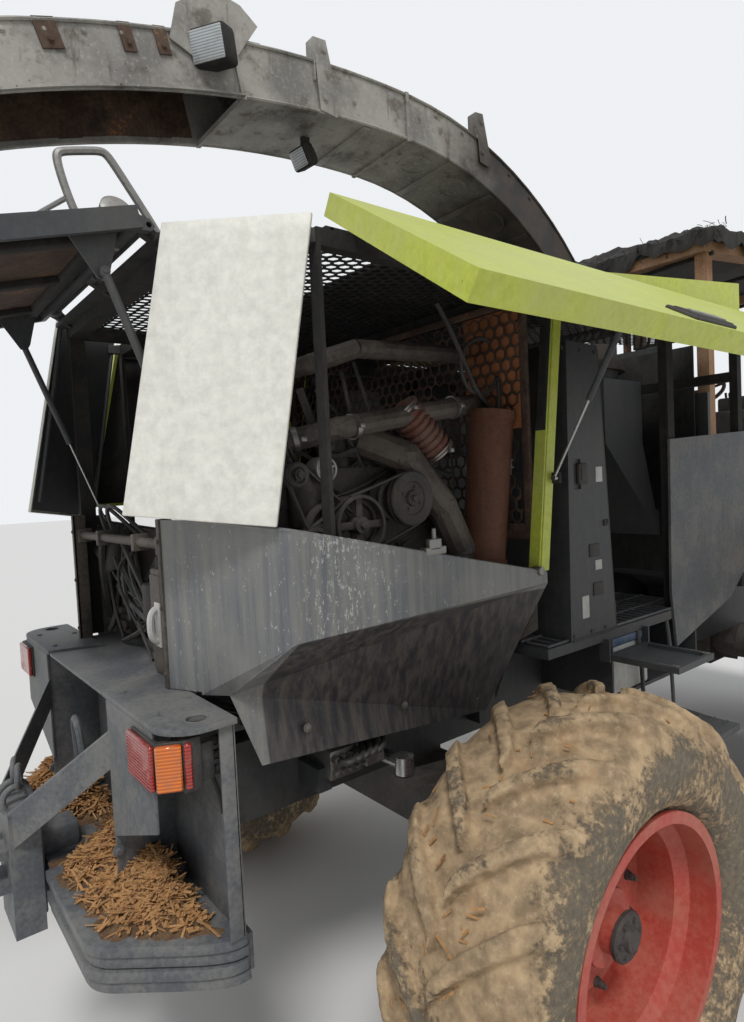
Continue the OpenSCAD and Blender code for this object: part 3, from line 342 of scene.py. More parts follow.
def plus(tree, a, b):
    return calc(tree, "ADD", a, b)


def minus(tree, a, b):
    return calc(tree, "SUBTRACT", a, b)


def blend_colour(tree, factor, a, b, blend_type="MIX"):
    """Mixes two colours by a factor."""
    return add(tree, "ShaderNodeMix", {0: factor, 6: a, 7: b}, data_type="RGBA",
               blend_type=blend_type).outputs[2]


def step(tree, value, low, high, to_low=0.0, to_high=1.0):
    """A soft rise of a value between two limits."""
    return add(
        tree, "ShaderNodeMapRange", {0: value, 1: low, 2: high, 3: to_low, 4: to_high},
        interpolation_type="SMOOTHSTEP",
    ).outputs[0]


def grain(tree, place, scale, detail=6.0, rough=0.62):
    """Cloudy noise at a scale."""
    slots = {"Vector": place, "Scale": scale, "Detail": detail, "Roughness": rough}
    return add(tree, "ShaderNodeTexNoise", slots).outputs["Fac"]


def stretched(tree, place, scale):
    """A place scaled differently along each axis."""
    return add(tree, "ShaderNodeMapping", {"Vector": place, "Scale": scale}).outputs[0]


def group_tree(name, inputs, outputs):
    """A new node group with its inputs and outputs."""
    tree = bpy.data.node_groups.new(name, "ShaderNodeTree")
    for kind, label, value in inputs:
        socket = tree.interface.new_socket(label, in_out="INPUT", socket_type=kind)
        socket.default_value = value
    for kind, label in outputs:
        tree.interface.new_socket(label, in_out="OUTPUT", socket_type=kind)
    return tree, tree.nodes.new("NodeGroupInput").outputs, tree.nodes.new("NodeGroupOutput").inputs


NUMBER, COLOUR = "NodeSocketFloat", "NodeSocketColor"


def build_weathering():
    """Soot, dust, rain streaks and fire rust over a base colour."""
    tree, given, out = group_tree(
        "Fire weathering",
        [
            (COLOUR, "Base", (0.5, 0.5, 0.5, 1)), (COLOUR, "Dust colour", tint("8d867b")),
            (COLOUR, "Soot colour", tint("1c1a19")), (COLOUR, "Rust colour", tint("6b3d22")),
            (NUMBER, "Dust", 0.4), (NUMBER, "Soot", 0.3), (NUMBER, "Rust", 0.2), (NUMBER, "Streaks", 0.4),
            (NUMBER, "Scale", 3.0), (NUMBER, "Roughness", 0.6),
        ],
        [(COLOUR, "Colour"), (NUMBER, "Roughness"), (NUMBER, "Height")],
    )
    place = add(tree, "ShaderNodeTexCoord").outputs["Object"]
    fine_scale = times(tree, given["Scale"], 11.0)
    broad = grain(tree, place, given["Scale"], 5.0)
    fine = grain(tree, place, fine_scale, 7.0, 0.7)
    other = grain(tree, stretched(tree, place, (1.7, 1.3, 1.1)), given["Scale"], 6.0, 0.66)
    runs = grain(tree, stretched(tree, place, (9.0, 9.0, 0.55)), given["Scale"], 5.0, 0.55)
    tone = step(tree, fine, 0.2, 0.8, 0.82, 1.14)
    base = blend_colour(tree, 1.0, given["Base"],
                        add(tree, "ShaderNodeCombineColor", {0: tone, 1: tone, 2: tone}).outputs[0],
                        "MULTIPLY")
    mixed = plus(tree, times(tree, broad, 0.62), times(tree, fine, 0.38))
    dust = times(tree, step(tree, mixed, 0.4, 0.62), given["Dust"])
    colour = blend_colour(tree, dust, base, given["Dust colour"])
    soot_field = plus(tree, times(tree, other, 0.7), times(tree, runs, 0.3))
    soot_edge = minus(tree, 0.72, times(tree, given["Soot"], 0.36))
    soot = step(tree, soot_field, soot_edge, plus(tree, soot_edge, 0.14))
    soot = times(tree, soot, calc(tree, "MINIMUM", times(tree, given["Soot"], 1.6), 0.92))
    colour = blend_colour(tree, soot, colour, given["Soot colour"])
    streak = times(tree, step(tree, runs, 0.5, 0.72), given["Streaks"])
    colour = blend_colour(tree, times(tree, streak, 0.6), colour, given["Dust colour"])
    spots = plus(tree, times(tree, fine, 0.45), times(tree, broad, 0.55))
    rust_edge = minus(tree, 0.72, times(tree, given["Rust"], 0.34))
    rust = step(tree, spots, rust_edge, plus(tree, rust_edge, 0.07))
    rust_tone = blend_colour(tree, step(tree, fine, 0.35, 0.65), given["Rust colour"], tint("9a6a48"))
    colour = blend_colour(tree, rust, colour, rust_tone)
    rough = plus(tree, given["Roughness"], times(tree, rust, 0.2))
    rough = calc(tree, "MINIMUM", plus(tree, rough, times(tree, dust, 0.15)), 0.97)
    height = plus(tree, times(tree, fine, 0.6), times(tree, rust, 0.5))
    tree.links.new(colour, out["Colour"])
    tree.links.new(rough, out["Roughness"])
    tree.links.new(height, out["Height"])
    return tree


WEATHERING = build_weathering()


def shell(name):
    """An empty material with its surface node."""
    material = bpy.data.materials.new(name)
    material.use_nodes = True
    tree = material.node_tree
    return material, tree, tree.nodes["Principled BSDF"]


def cover(tree, surface, colour, rough, height, bump, depth):
    """Links a colour, a roughness and a height, whose bump is given in millimetres, to the surface."""
    raised = add(tree, "ShaderNodeBump", {"Strength": bump, "Distance": depth * MM, "Height": height})
    for value, key in ((colour, "Base Color"), (rough, "Roughness"), (raised.outputs[0], "Normal")):
        tree.links.new(value, surface.inputs[key])


def weathered(name, base, metallic=0.0, bump=0.25, depth=1.2, specular=0.5, **worn):
    """A finish of one base colour under the shared fire weathering."""
    material, tree, surface = shell(name)
    layer = add(tree, "ShaderNodeGroup", node_tree=WEATHERING)
    layer.inputs["Base"].default_value = tint(base)
    for key, value in worn.items():
        label = key.replace("_", " ").capitalize()
        layer.inputs[label].default_value = tint(value) if isinstance(value, str) else value
    made = layer.outputs
    cover(tree, surface, made["Colour"], made["Roughness"], made["Height"], bump, depth)
    surface.inputs["Metallic"].default_value = metallic
    surface.inputs["Specular IOR Level"].default_value = specular
    return material


FINISH = {
    "lime": weathered("Faded lime paint", "bfc94a", dust=0.35, soot=0.2, rust=0.04, streaks=0.35, scale=3.4,
                      roughness=0.42, dust_colour="b7b683", soot_colour="6a6844", rust_colour="4a4832",
                      bump=0.08),
    "cream": weathered("Chalky cream paint", "e4e2d8", dust=0.1, soot=0.06, rust=0.1, streaks=0.4, scale=2.6,
                       roughness=0.45, dust_colour="c3c0b4", soot_colour="6b675f", rust_colour="4d453c",
                       bump=0.08),
    "deck": weathered("Blue grey deck steel", "55585c", dust=0.55, soot=0.4, rust=0.1, streaks=0.25,
                      scale=6.0,
                      roughness=0.55, dust_colour="84817b", soot_colour="26272b", bump=0.35),
    "dark": weathered("Dark grey panel paint", "3b3d40", dust=0.4, soot=0.35, rust=0.08, streaks=0.5,
                      scale=3.5,
                      roughness=0.5, dust_colour="56534d", bump=0.15),
    "char": weathered("Charred black", "232120", dust=0.35, soot=0.7, rust=0.1, streaks=0.1, scale=7.0,
                      roughness=0.85, dust_colour="4a4640", bump=0.7, depth=3.0),
    "rust": weathered("Fire rusted steel", "3f2c22", dust=0.3, soot=0.5, rust=0.42, streaks=0.15, scale=6.0,
                      roughness=0.8, dust_colour="8a745f", bump=0.5, depth=2.0),
    "engine": weathered("Oily engine iron", "35312f", dust=0.5, soot=0.5, rust=0.16, streaks=0.1, scale=7.0,
                        roughness=0.66, dust_colour="5e564e", bump=0.45, depth=2.0),
    "pipe": weathered("Dusty charge pipe", "433d38", dust=0.5, soot=0.4, rust=0.22, streaks=0.1, scale=5.0,
                      roughness=0.6, dust_colour="796f64", metallic=0.2, bump=0.25),
    "bellows": weathered("Scorched red hose", "6a3a2c", dust=0.35, soot=0.3, rust=0.2, streaks=0.1, scale=8.0,
                         roughness=0.75, bump=0.3),
    "hose": weathered("Dull black hose", "2c2b2b", dust=0.4, soot=0.3, rust=0.0, streaks=0.1, scale=9.0,
                      roughness=0.62, dust_colour="5a544b", bump=0.2),
    "zinc": weathered("Grimy zinc fittings", "8e8d89", dust=0.45, soot=0.25, rust=0.12, streaks=0.1,
                      scale=12.0,
                      roughness=0.38, dust_colour="7a7368", metallic=0.75, bump=0.15),
    "rod": weathered("Ground rod", "a9a9a8", dust=0.2, soot=0.1, rust=0.05, streaks=0.1, scale=9.0,
                     roughness=0.25, metallic=0.9, bump=0.05),
    "rim": weathered("Faded red rim paint", "b4493d", dust=0.42, soot=0.16, rust=0.12, streaks=0.2, scale=4.5,
                     roughness=0.5, dust_colour="a98069", soot_colour="4a211b", rust_colour="51241b",
                     bump=0.15),
    "wood": weathered("Heat tanned post", "8c6647", dust=0.4, soot=0.4, rust=0.35, streaks=0.5, scale=6.0,
                      roughness=0.8, dust_colour="a59078", bump=0.4, depth=2.0),
    "white": weathered("Dusty white moulding", "c9cac6", dust=0.45, soot=0.2, rust=0.0, streaks=0.3,
                       scale=9.0,
                       roughness=0.5, bump=0.1),
    "blue": weathered("Dusty blue moulding", "3c5878", dust=0.5, soot=0.3, rust=0.0, streaks=0.2, scale=9.0,
                      roughness=0.5, bump=0.1),
    "straw": weathered("Dry chaff", "ad7f50", dust=0.5, soot=0.25, rust=0.55, streaks=0.0, scale=17.0,
                       roughness=0.9, dust_colour="d0ab78", rust_colour="7a4c2c", bump=0.6, depth=3.0),
    "mulch": weathered("Dark chaff underneath", "5d4632", dust=0.6, soot=0.45, rust=0.5, streaks=0.0,
                       scale=26.0,
                       roughness=0.95, dust_colour="97795a", rust_colour="3f2c1e", bump=0.9, depth=6.0),
    "rail": weathered("Galvanised rail", "8d8b87", dust=0.5, soot=0.25, rust=0.15, streaks=0.1, scale=8.0,
                      roughness=0.45, dust_colour="a39f97", metallic=0.4, bump=0.2),
    # Dark red-brown: the red is the duct's own heat colour, the darkness is painted shade.
    "copper_duct_in_painted_shade": weathered("Heat reddened duct with painted shade", "54301f", dust=0.35, soot=0.45, rust=0.3, streaks=0.3,
                             scale=6.0,
                             roughness=0.7, dust_colour="7a5440", bump=0.3),
    # Bright orange-tan over rust: painted sunlight, seen through the bay screen's holes.
    "painted_sunlight_sheet": weathered("Rusty sheet with painted sunlight", "b36f45", dust=0.3, soot=0.2, rust=0.25, streaks=0.2,
                              scale=4.0,
                              roughness=0.8, dust_colour="c9946c", bump=0.3),
}


def build_mud_tyre():
    """Rubber with dried mud on its tread and a dusty sidewall."""
    material, tree, surface = shell("Mud caked rubber")
    place = add(tree, "ShaderNodeTexCoord").outputs["Object"]
    broad = grain(tree, place, 5.0, 6.0)
    fine = grain(tree, place, 48.0, 8.0, 0.72)
    mid = grain(tree, place, 16.0, 6.0, 0.6)
    mud_mask = add(tree, "ShaderNodeAttribute", attribute_name="mud").outputs["Fac"]
    field = plus(tree, times(tree, broad, 0.45), times(tree, mid, 0.25))
    field = plus(tree, field, times(tree, mud_mask, 0.46))
    field = plus(tree, field, times(tree, minus(tree, fine, 0.5), 0.7))
    mud = step(tree, field, 0.52, 0.66)
    mud_tone = blend_colour(tree, step(tree, mid, 0.3, 0.72), tint("87745c"), tint("bda381"))
    mud_tone = blend_colour(tree, step(tree, fine, 0.5, 0.75, 0.0, 0.6), mud_tone, tint("d3bd99"))
    mud_tone = blend_colour(tree, step(tree, broad, 0.58, 0.74, 0.0, 0.4), mud_tone, tint("a67b51"))
    rubber = blend_colour(tree, step(tree, fine, 0.3, 0.7), tint("5e564b"), tint("837866"))
    colour = blend_colour(tree, mud, rubber, mud_tone)
    rough = step(tree, mud, 0.0, 1.0, 0.74, 0.95)
    height = plus(tree, times(tree, fine, 0.5), times(tree, mud, 0.6))
    cover(tree, surface, colour, rough, height, 0.7, 4)
    surface.inputs["Specular IOR Level"].default_value = 0.25
    return material


def build_band():
    """Speckled silver paint above the fold, and a darker grey on the panel tucked under it that is painted
    shade.
    """
    material, tree, surface = shell("Silver band paint")
    place = add(tree, "ShaderNodeTexCoord").outputs["Object"]
    split = add(tree, "ShaderNodeSeparateXYZ", {0: place}).outputs
    fine = grain(tree, place, 60.0, 6.0, 0.7)
    runs = grain(tree, stretched(tree, place, (38.0, 38.0, 1.6)), 1.0, 6.0, 0.65)
    broad = grain(tree, place, 2.6, 5.0)
    speck = grain(tree, stretched(tree, place, (1.0, 1.0, 0.45)), 95.0, 3.0, 0.8)
    tone = blend_colour(tree, step(tree, runs, 0.26, 0.74), tint("5d6067"), tint("85847f"))
    tone = blend_colour(tree, times(tree, step(tree, broad, 0.42, 0.66), 0.5), tone, tint("929089"))
    near_fold = times(tree, step(tree, split[1], -1.93, -1.72), step(tree, split[1], -1.45, -1.72))
    flake = step(tree, plus(tree, speck, times(tree, near_fold, 0.09)), 0.63, 0.69)
    tone = blend_colour(tree, times(tree, flake, 0.75), tone, tint("b9b8b2"))
    # The panel tucked under the fold is painted a darker grey as shade, since it lies in shadow; low masks
    # it.
    tucked_panel_painted_shade = blend_colour(tree, step(tree, runs, 0.35, 0.7), tint("37363a"), tint("5d5853"))
    tucked_panel_painted_shade = blend_colour(tree, times(tree, flake, 0.12), tucked_panel_painted_shade, tint("8b857c"))
    behind = step(tree, split[1], -1.862, -1.872)
    low = times(tree, step(tree, split[2], 1.724, 1.716), minus(tree, 1.0, behind))
    colour = blend_colour(tree, low, tone, tucked_panel_painted_shade)
    height = plus(tree, times(tree, fine, 0.6), times(tree, runs, 0.4))
    cover(tree, surface, colour, step(tree, runs, 0.2, 0.8, 0.42, 0.66), height, 0.25, 1.2)
    surface.inputs["Metallic"].default_value = 0.15
    return material


def build_spout():
    """Bare grey sheet, scorched brown in patches and black towards the turret."""
    material, tree, surface = shell("Scorched spout sheet")
    place = add(tree, "ShaderNodeTexCoord").outputs["Object"]
    along = add(tree, "ShaderNodeSeparateXYZ", {0: place}).outputs[1]
    broad = grain(tree, place, 3.2, 6.0, 0.6)
    mid = grain(tree, place, 9.0, 6.0, 0.65)
    fine = grain(tree, place, 60.0, 7.0, 0.72)
    runs = grain(tree, stretched(tree, place, (26.0, 26.0, 3.0)), 1.0, 6.0, 0.65)
    tone = blend_colour(tree, step(tree, broad, 0.36, 0.64), tint("797671"), tint("a6a29a"))
    tone = blend_colour(tree, step(tree, fine, 0.5, 0.72, 0.0, 0.6), tone, tint("bdb8ae"))
    tone = blend_colour(tree, step(tree, mid, 0.54, 0.66, 0.0, 0.7), tone, tint("5b5148"))
    tone = blend_colour(tree, step(tree, runs, 0.58, 0.72, 0.0, 0.6), tone, tint("4a3a2e"))
    speck = step(tree, grain(tree, place, 42.0, 3.0, 0.8), 0.66, 0.7)
    tone = blend_colour(tree, times(tree, speck, 0.7), tone, tint("3b332c"))
    scorch = plus(tree, along, times(tree, minus(tree, broad, 0.5), 1.2))
    scorch = step(tree, scorch, -0.55, -0.1, 0.0, 0.95)
    tone = blend_colour(tree, scorch, tone, blend_colour(tree, step(tree, mid, 0.35, 0.7), tint("231f1d"),
                                                         tint("4b4039")))
    height = plus(tree, times(tree, fine, 0.5), times(tree, mid, 0.6))
    cover(tree, surface, tone, step(tree, mid, 0.3, 0.7, 0.5, 0.75), height, 0.35, 2.5)
    surface.inputs["Metallic"].default_value = 0.2
    return material


def build_lens(name, colour, glow):
    """A ribbed lamp lens with dirt in its ribs; the ribs are painted in bands of a lighter glow colour as
    painted highlights.
    """
    material, tree, surface = shell(name)
    place = add(tree, "ShaderNodeTexCoord").outputs["Object"]
    ribs = add(tree, "ShaderNodeTexWave", {"Vector": place, "Scale": 36.0, "Distortion": 0.0},
               bands_direction="Z").outputs["Fac"]
    dirt = step(tree, grain(tree, place, 26.0, 7.0, 0.7), 0.44, 0.7)
    # Bands of lighter glow colour along the ribs: painted highlights.
    painted_rib_highlights = blend_colour(tree, ribs, tint(colour), tint(glow))
    colour = blend_colour(tree, times(tree, dirt, 0.45), painted_rib_highlights, tint("75665a"))
    cover(tree, surface, colour, step(tree, dirt, 0.0, 1.0, 0.16, 0.6), ribs, 0.35, 1.5)
    surface.inputs["Coat Weight"].default_value = 0.4
    return material


FINISH["mud"] = build_mud_tyre()
FINISH["silver"] = build_band()
FINISH["scorched"] = build_spout()
FINISH["red_lens"] = build_lens("Red lamp lens", "7c1a16", "b8352a")
FINISH["amber_lens"] = build_lens("Amber lamp lens", "c25518", "e5812c")
FINISH["clear_lens"] = build_lens("Clear lamp lens", "8d9396", "c3c8c9")

NODE_FINISH = {
    "dark": ["chassis_frame", "service_columns", "platforms", "toolbox_lid", "ladder", "intake_housing",
             "chopper_housing", "flap_strut_right", "flap_strut_left", "hatch_struts", "rear_hatch",
             "cab_floor",
             "lift_cylinders"],
    "deck": ["rear_deck", "tow_hitch", "ballast_plates", "side_panels"],
    "silver": ["side_bands"],
    "scorched": ["spout", "spout_flap", "spout_turret", "spout_cylinder"],
    "engine": ["engine_block", "rear_axle", "front_axle", "knuckle_right", "knuckle_left"],
    "pipe": ["engine_pipes", "handrails"],
    "rust": ["bay_screen", "hood_roof", "cab_door", "feed_roll_upper", "feed_roll_lower"],
    "wood": ["cab_posts"],
    "char": ["cab_roof", "spout_lamps", "hood_frame", "hood_side_right", "hood_side_left", "hood_cross_bars"],
    "lime": ["side_flap_right", "side_flap_left", "hood_covers"],
    "cream": ["corner_panels"],
    "rim": ["rear_rim_right", "rear_rim_left", "front_rim_right", "front_rim_left"],
    "mud": ["rear_tyre_right", "rear_tyre_left", "front_tyre_right", "front_tyre_left"],
    "rod": ["steer_rod", "flap_rod_right", "flap_rod_left", "hatch_rods", "lift_rods", "spout_rod"],
    "red_lens": ["lamps"],
}


class HarvesterSizes(bpy.types.PropertyGroup):
    """Sizes of the dressing that a user would change."""
    mud_depth: FloatProperty(name="Mud depth", description="Height of the mud lumps on the tyres",
                             default=0.007, unit="LENGTH")
    lug_height: FloatProperty(name="Lug height", description="Height of a worn tread lug", default=0.054,
                              unit="LENGTH")
    hole_pitch: FloatProperty(name="Hole pitch", description="Pitch of the holes in the screens",
                              default=0.052, unit="LENGTH")
    hole_web: FloatProperty(name="Hole web", description="Metal between two holes of a screen", default=0.011,
                            unit="LENGTH")
    hose_radius: FloatProperty(name="Hose radius", description="Radius of a hydraulic hose", default=0.011,
                               unit="LENGTH")
    chaff_count: IntProperty(name="Chaff", description="Straws on the ballast plates", default=420)


class HarvesterColours(bpy.types.PropertyGroup):
    """Colours of the studio stage."""
    floor: FloatVectorProperty(name="Floor", description="Colour of the floor", subtype="COLOR",
                               default=(0.72, 0.71, 0.69))
    sky: FloatVectorProperty(name="Backdrop", description="Colour behind the machine", subtype="COLOR",
                             default=(0.86, 0.88, 0.9))


class StageOperator(bpy.types.Operator):
    """Makes the floor, the light and the camera at the photograph's angle"""
    bl_idname = "harvester.stage"
    bl_label = "Stage"

    def execute(self, context):
        colours = context.scene.harvester_colours
        bm = bmesh.new()
        bmesh.ops.create_grid(bm, x_segments=2, y_segments=2, size=60.0)
        mesh = bpy.data.meshes.new("studio_floor")
        bm.to_mesh(mesh)
        bm.free()
        floor = bpy.data.objects.new("studio_floor", mesh)
        context.scene.collection.objects.link(floor)
        floor.location.z = -0.001
        material, tree, surface = shell("Studio floor")
        surface.inputs["Base Color"].default_value = (*colours.floor, 1)
        surface.inputs["Roughness"].default_value = 0.9
        mesh.materials.append(material)
        world = bpy.data.worlds.new("Studio")
        context.scene.world = world
        world.use_nodes = True
        tree = world.node_tree
        tree.nodes.clear()
        light = add(tree, "ShaderNodeBackground", {"Color": (0.93, 0.96, 1.0, 1), "Strength": 0.5})
        seen = add(tree, "ShaderNodeBackground", {"Color": (*colours.sky, 1), "Strength": 1.0})
        path = add(tree, "ShaderNodeLightPath").outputs
        shown = calc(tree, "MAXIMUM", path["Is Camera Ray"], times(tree, path["Is Glossy Ray"], 0.6))
        mixed = add(tree, "ShaderNodeMixShader", {0: shown, 1: light.outputs[0], 2: seen.outputs[0]})
        add(tree, "ShaderNodeOutputWorld", {"Surface": mixed.outputs[0]})
        for name, direction, strength, spread in (
            ("key_light", (-0.45, 0.35, -0.8), 1.75, 14.0), ("fill_light", (0.6, 0.5, -0.5), 0.3, 60.0),
        ):
            lamp = bpy.data.lights.new(name, "SUN")
            lamp.energy = strength
            lamp.angle = math.radians(spread)
            holder = bpy.data.objects.new(name, lamp)
            holder.rotation_euler = Vector(direction).to_track_quat("-Z", "Y").to_euler()
            context.scene.collection.objects.link(holder)
        lens = bpy.data.cameras.new("camera")
        lens.sensor_fit = "AUTO"
        lens.sensor_width = SENSOR_MM
        lens.lens = FOCAL_PIXELS * SENSOR_MM / FRAME_PIXELS
        lens.clip_start = 0.05
        lens.clip_end = 300
        camera = bpy.data.objects.new("camera", lens)
        heading = Matrix.Rotation(math.radians(CAMERA_HEADING), 4, "Z")
        dip = Matrix.Rotation(math.radians(90 - CAMERA_DIP), 4, "X")
        turn = heading @ dip @ Matrix.Rotation(math.radians(CAMERA_ROLL), 4, "Z")
        camera.matrix_world = Matrix.Translation(at(CAMERA_X, CAMERA_Y, CAMERA_Z)) @ turn
        context.scene.collection.objects.link(camera)
        context.scene.camera = camera
        context.scene.view_settings.view_transform = "Standard"
        return {"FINISHED"}


class CarriedOperator(bpy.types.Operator):
    """Gives every node of the frame its finish"""
    bl_idname = "harvester.carried"
    bl_label = "Frame finishes"

    def execute(self, context):
        for finish, names in NODE_FINISH.items():
            for name in names:
                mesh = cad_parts[name].data
                mesh.materials.clear()
                mesh.materials.append(FINISH[finish])
        return {"FINISHED"}


# Wheels

def tyre_radius(share, inner, outer):
    """Radius of the tyre's outer surface at a share of its half width, as in the frame's section."""
    cosine = min(abs(share), 0.999) ** (1 / 0.62)
    middle, half = (inner + outer) / 2, (outer - inner) / 2
    return middle + half * math.sqrt(1 - cosine * cosine) ** 0.75


def tyre_mesh(outer_d, width, rim_d, rim_w, lugs, lug_h, mud, voxel, seed):
    """A carcass with leaning lugs, fused by a voxel remesh and roughened with mud, about the X axis."""
    inner, outer = rim_d / 2, outer_d / 2
    carcass = outer - lug_h
    bm = bmesh.new()
    place = basis(Vector((0, 0, 0)), (0, 0, 1), (1, 0, 0))
    middle, half = (inner + carcass) / 2, (carcass - inner) / 2
    wall = []
    for k in range(-4, 13):
        a = math.radians(k * 90 / 12 - (10 if k < 0 else 0))
        radius = middle + half * math.copysign(abs(math.sin(a)) ** 0.75, math.sin(a))
        wall.append((radius, width / 2 * abs(math.cos(a)) ** 0.62))
    seat = rim_w / 2 - 25
    profile = [(inner + 1, -seat), (inner + 1, seat), (inner + 27, seat)] + wall
    profile += [(r, -h) for r, h in reversed(wall[:-1])] + [(inner + 27, -seat), (inner + 1, -seat)]
    turned(bm, profile, place, 96)
    lean = width * 0.52
    rng = random.Random(seed)
    for side in (1, -1):
        for n in range(lugs):
            start = (n + (0 if side > 0 else 0.5)) * 2 * math.pi / lugs
            wear = rng.uniform(0.86, 1.0)
            made = bmesh.ops.create_grid(bm, x_segments=9, y_segments=3, size=0.5)
            verts = made["verts"]
            faces = list({f for v in verts for f in v.link_faces})
            out = bmesh.ops.extrude_face_region(bm, geom=faces)
            top = verts_in(out["geom"])
            for group, is_top in ((verts, False), (top, True)):
                for vert in group:
                    u, v = vert.co.x + 0.5, vert.co.y
                    x = 6 + u * (width / 2 * 0.997 - 6)
                    drift = lean * (u ** 0.85)
                    half_w = (34 + 8 * u) * (1.0 if not is_top else 0.86)
                    tall = tyre_radius(x / (width / 2), inner, outer)
                    low = tyre_radius(x / (width / 2) * 0.96, inner, carcass) - 24
                    r = low + (tall - low) * (wear if is_top else 0.0)
                    angle = start + (drift + v * 2 * half_w) / outer
                    vert.co = Vector((side * x * MM, math.sin(angle) * r * MM, math.cos(angle) * r * MM))
    bmesh.ops.recalc_face_normals(bm, faces=bm.faces)
    mesh = bpy.data.meshes.new("tyre")
    bm.to_mesh(mesh)
    bm.free()
    holder = bpy.data.objects.new("tyre", mesh)
    bpy.context.scene.collection.objects.link(holder)
    change = holder.modifiers.new("fuse", "REMESH")
    change.mode = "VOXEL"
    change.voxel_size = voxel
    change.use_smooth_shade = True
    bpy.context.view_layer.update()
    fused = bpy.data.meshes.new_from_object(holder.evaluated_get(bpy.context.evaluated_depsgraph_get()))
    bpy.data.objects.remove(holder)
    bpy.data.meshes.remove(mesh)
    bm = bmesh.new()
    bm.from_mesh(fused)
    bpy.data.meshes.remove(fused)
    bmesh.ops.smooth_vert(bm, verts=bm.verts, factor=0.5, use_axis_x=True, use_axis_y=True, use_axis_z=True)
    layer = bm.verts.layers.float.new("mud")
    bm.normal_update()
    shift = Vector((seed * 3.1, 0, 0))
    for vert in bm.verts:
        co = vert.co
        r = math.hypot(co.y, co.z) / MM
        tread = min(max((r - (outer - 150)) / 100, 0), 1)
        lump = noise.fractal((co + shift) * 13, 0.6, 2.2, 6)
        patch = noise.noise((co + shift) * 5)
        gap = min(max((outer - 10 - r) / lug_h, 0), 1)
        push = mud * (0.7 * lump + 0.5 * max(patch, 0) * gap) * (0.18 + 0.82 * tread)
        if r > inner + 30:
            vert.co = co + vert.normal * push
        vert[layer] = 0.42 + tread * 0.5 * (0.6 + 0.6 * gap) + 0.35 * patch
    return bm


def wheel_hub(bm, side, x_face, y, z, circle, count, hub_r, cap):
    """Wheel nuts in a ring and a hub cap on the outer side of a rim."""
    out = Vector((side, 0, 0))
    for n in range(count):
        a = n * 2 * math.pi / count
        spot = at(side * x_face, y + circle * math.sin(a), z + circle * math.cos(a))
        bar(bm, spot - out * 6 * MM, spot + out * 10 * MM, 19, 15, segments=16)
        bar(bm, spot, spot + out * 26 * MM, 13, segments=6, round_by=1.5)
        bar(bm, spot, spot + out * 36 * MM, 8, segments=10, round_by=1.0)
    face = at(side * cap, y, z)
    profile = [(0, 0), (hub_r, 0), (hub_r, 12), (hub_r * 0.92, 18), (hub_r * 0.5, 20), (hub_r * 0.42, 34),
               (0, 36)]
    turned(bm, profile, basis(face, (0, 1, 0), out), 32)
    for n in range(6):
        a = (n + 0.5) * math.pi / 3
        bolt(bm, face + Vector((side * 0.019, math.sin(a) * hub_r * 0.7 * MM,
                                math.cos(a) * hub_r * 0.7 * MM)), out, 7, 6)


class TyresOperator(bpy.types.Operator):
    """Builds the four mud-caked tyres"""
    bl_idname = "harvester.tyres"
    bl_label = "Tyres"

    def execute(self, context):
        sizes = context.scene.harvester_sizes
        lug = sizes.lug_height / MM
        mud = sizes.mud_depth
        rear = (REAR_TYRE_D, REAR_TYRE_W, REAR_RIM_D, REAR_RIM_W, REAR_LUGS)
        front = (FRONT_TYRE_D, FRONT_TYRE_W, FRONT_RIM_D, FRONT_RIM_W, FRONT_LUGS)
        rear_z = REAR_TYRE_D / 2
        for name, side, y, x, args, voxel, seed in (
            ("rear_tyre_right", 1, 0, REAR_WHEEL_X, rear, 0.0095, 1),
            ("rear_tyre_left", -1, 0, REAR_WHEEL_X, rear, 0.0125, 2),
            ("front_tyre_right", 1, WHEELBASE, FRONT_WHEEL_X, front, 0.0145, 3),
            ("front_tyre_left", -1, WHEELBASE, FRONT_WHEEL_X, front, 0.0145, 4),
        ):
            bm = tyre_mesh(*args, lug, mud, voxel, seed)
            if side < 0:
                bmesh.ops.scale(bm, verts=bm.verts, vec=(-1, 1, 1))
                bmesh.ops.reverse_faces(bm, faces=bm.faces)
            bmesh.ops.translate(bm, verts=bm.verts, vec=at(side * x, y, args[0] / 2))
            body = name.replace("tyre", "wheel")
            piece = finish_piece(bm, name + "_muddy", body, "mud", 60, normals=False)
            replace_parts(piece, name)
            if y > 0:
                continue
            bm = bmesh.new()
            rng = random.Random(seed + 60)
            for _ in range(220):
                share = rng.uniform(-0.86, 0.86)
                turn = rng.uniform(0, 2 * math.pi)
                r = tyre_radius(share, REAR_RIM_D / 2, rear_z) - rng.uniform(26, 60)
                out = Vector((share * 0.6, math.sin(turn), math.cos(turn)))
                spot = at(side * x + share * REAR_TYRE_W / 2, r * math.sin(turn), rear_z + r * math.cos(turn))
                along = Vector((rng.uniform(-1, 1), rng.uniform(-1, 1), rng.uniform(-1, 1)))
                slab(bm, basis(spot, along, out), (rng.uniform(14, 52), rng.uniform(3, 8), 3), 0)
            finish_piece(bm, name + "_straws", body, "straw", 60)
        return {"FINISHED"}


class HubsOperator(bpy.types.Operator):
    """Adds wheel nuts and hub caps"""
    bl_idname = "harvester.hubs"
    bl_label = "Wheel hubs"

    def execute(self, context):
        for side, word in ((1, "right"), (-1, "left")):
            bm = bmesh.new()
            wheel_hub(bm, side, REAR_WHEEL_X + 26, 0, REAR_TYRE_D / 2, 205, 10, 76, REAR_WHEEL_X + 129)
            finish_piece(bm, "rear_hub_" + word, "rear_wheel_" + word, "engine")
            bm = bmesh.new()
            wheel_hub(bm, side, FRONT_WHEEL_X + 66, WHEELBASE, FRONT_TYRE_D / 2, 225, 12, 95,
                      FRONT_WHEEL_X + 189)
            finish_piece(bm, "front_hub_" + word, "front_wheel_" + word, "engine")
        return {"FINISHED"}


# Body

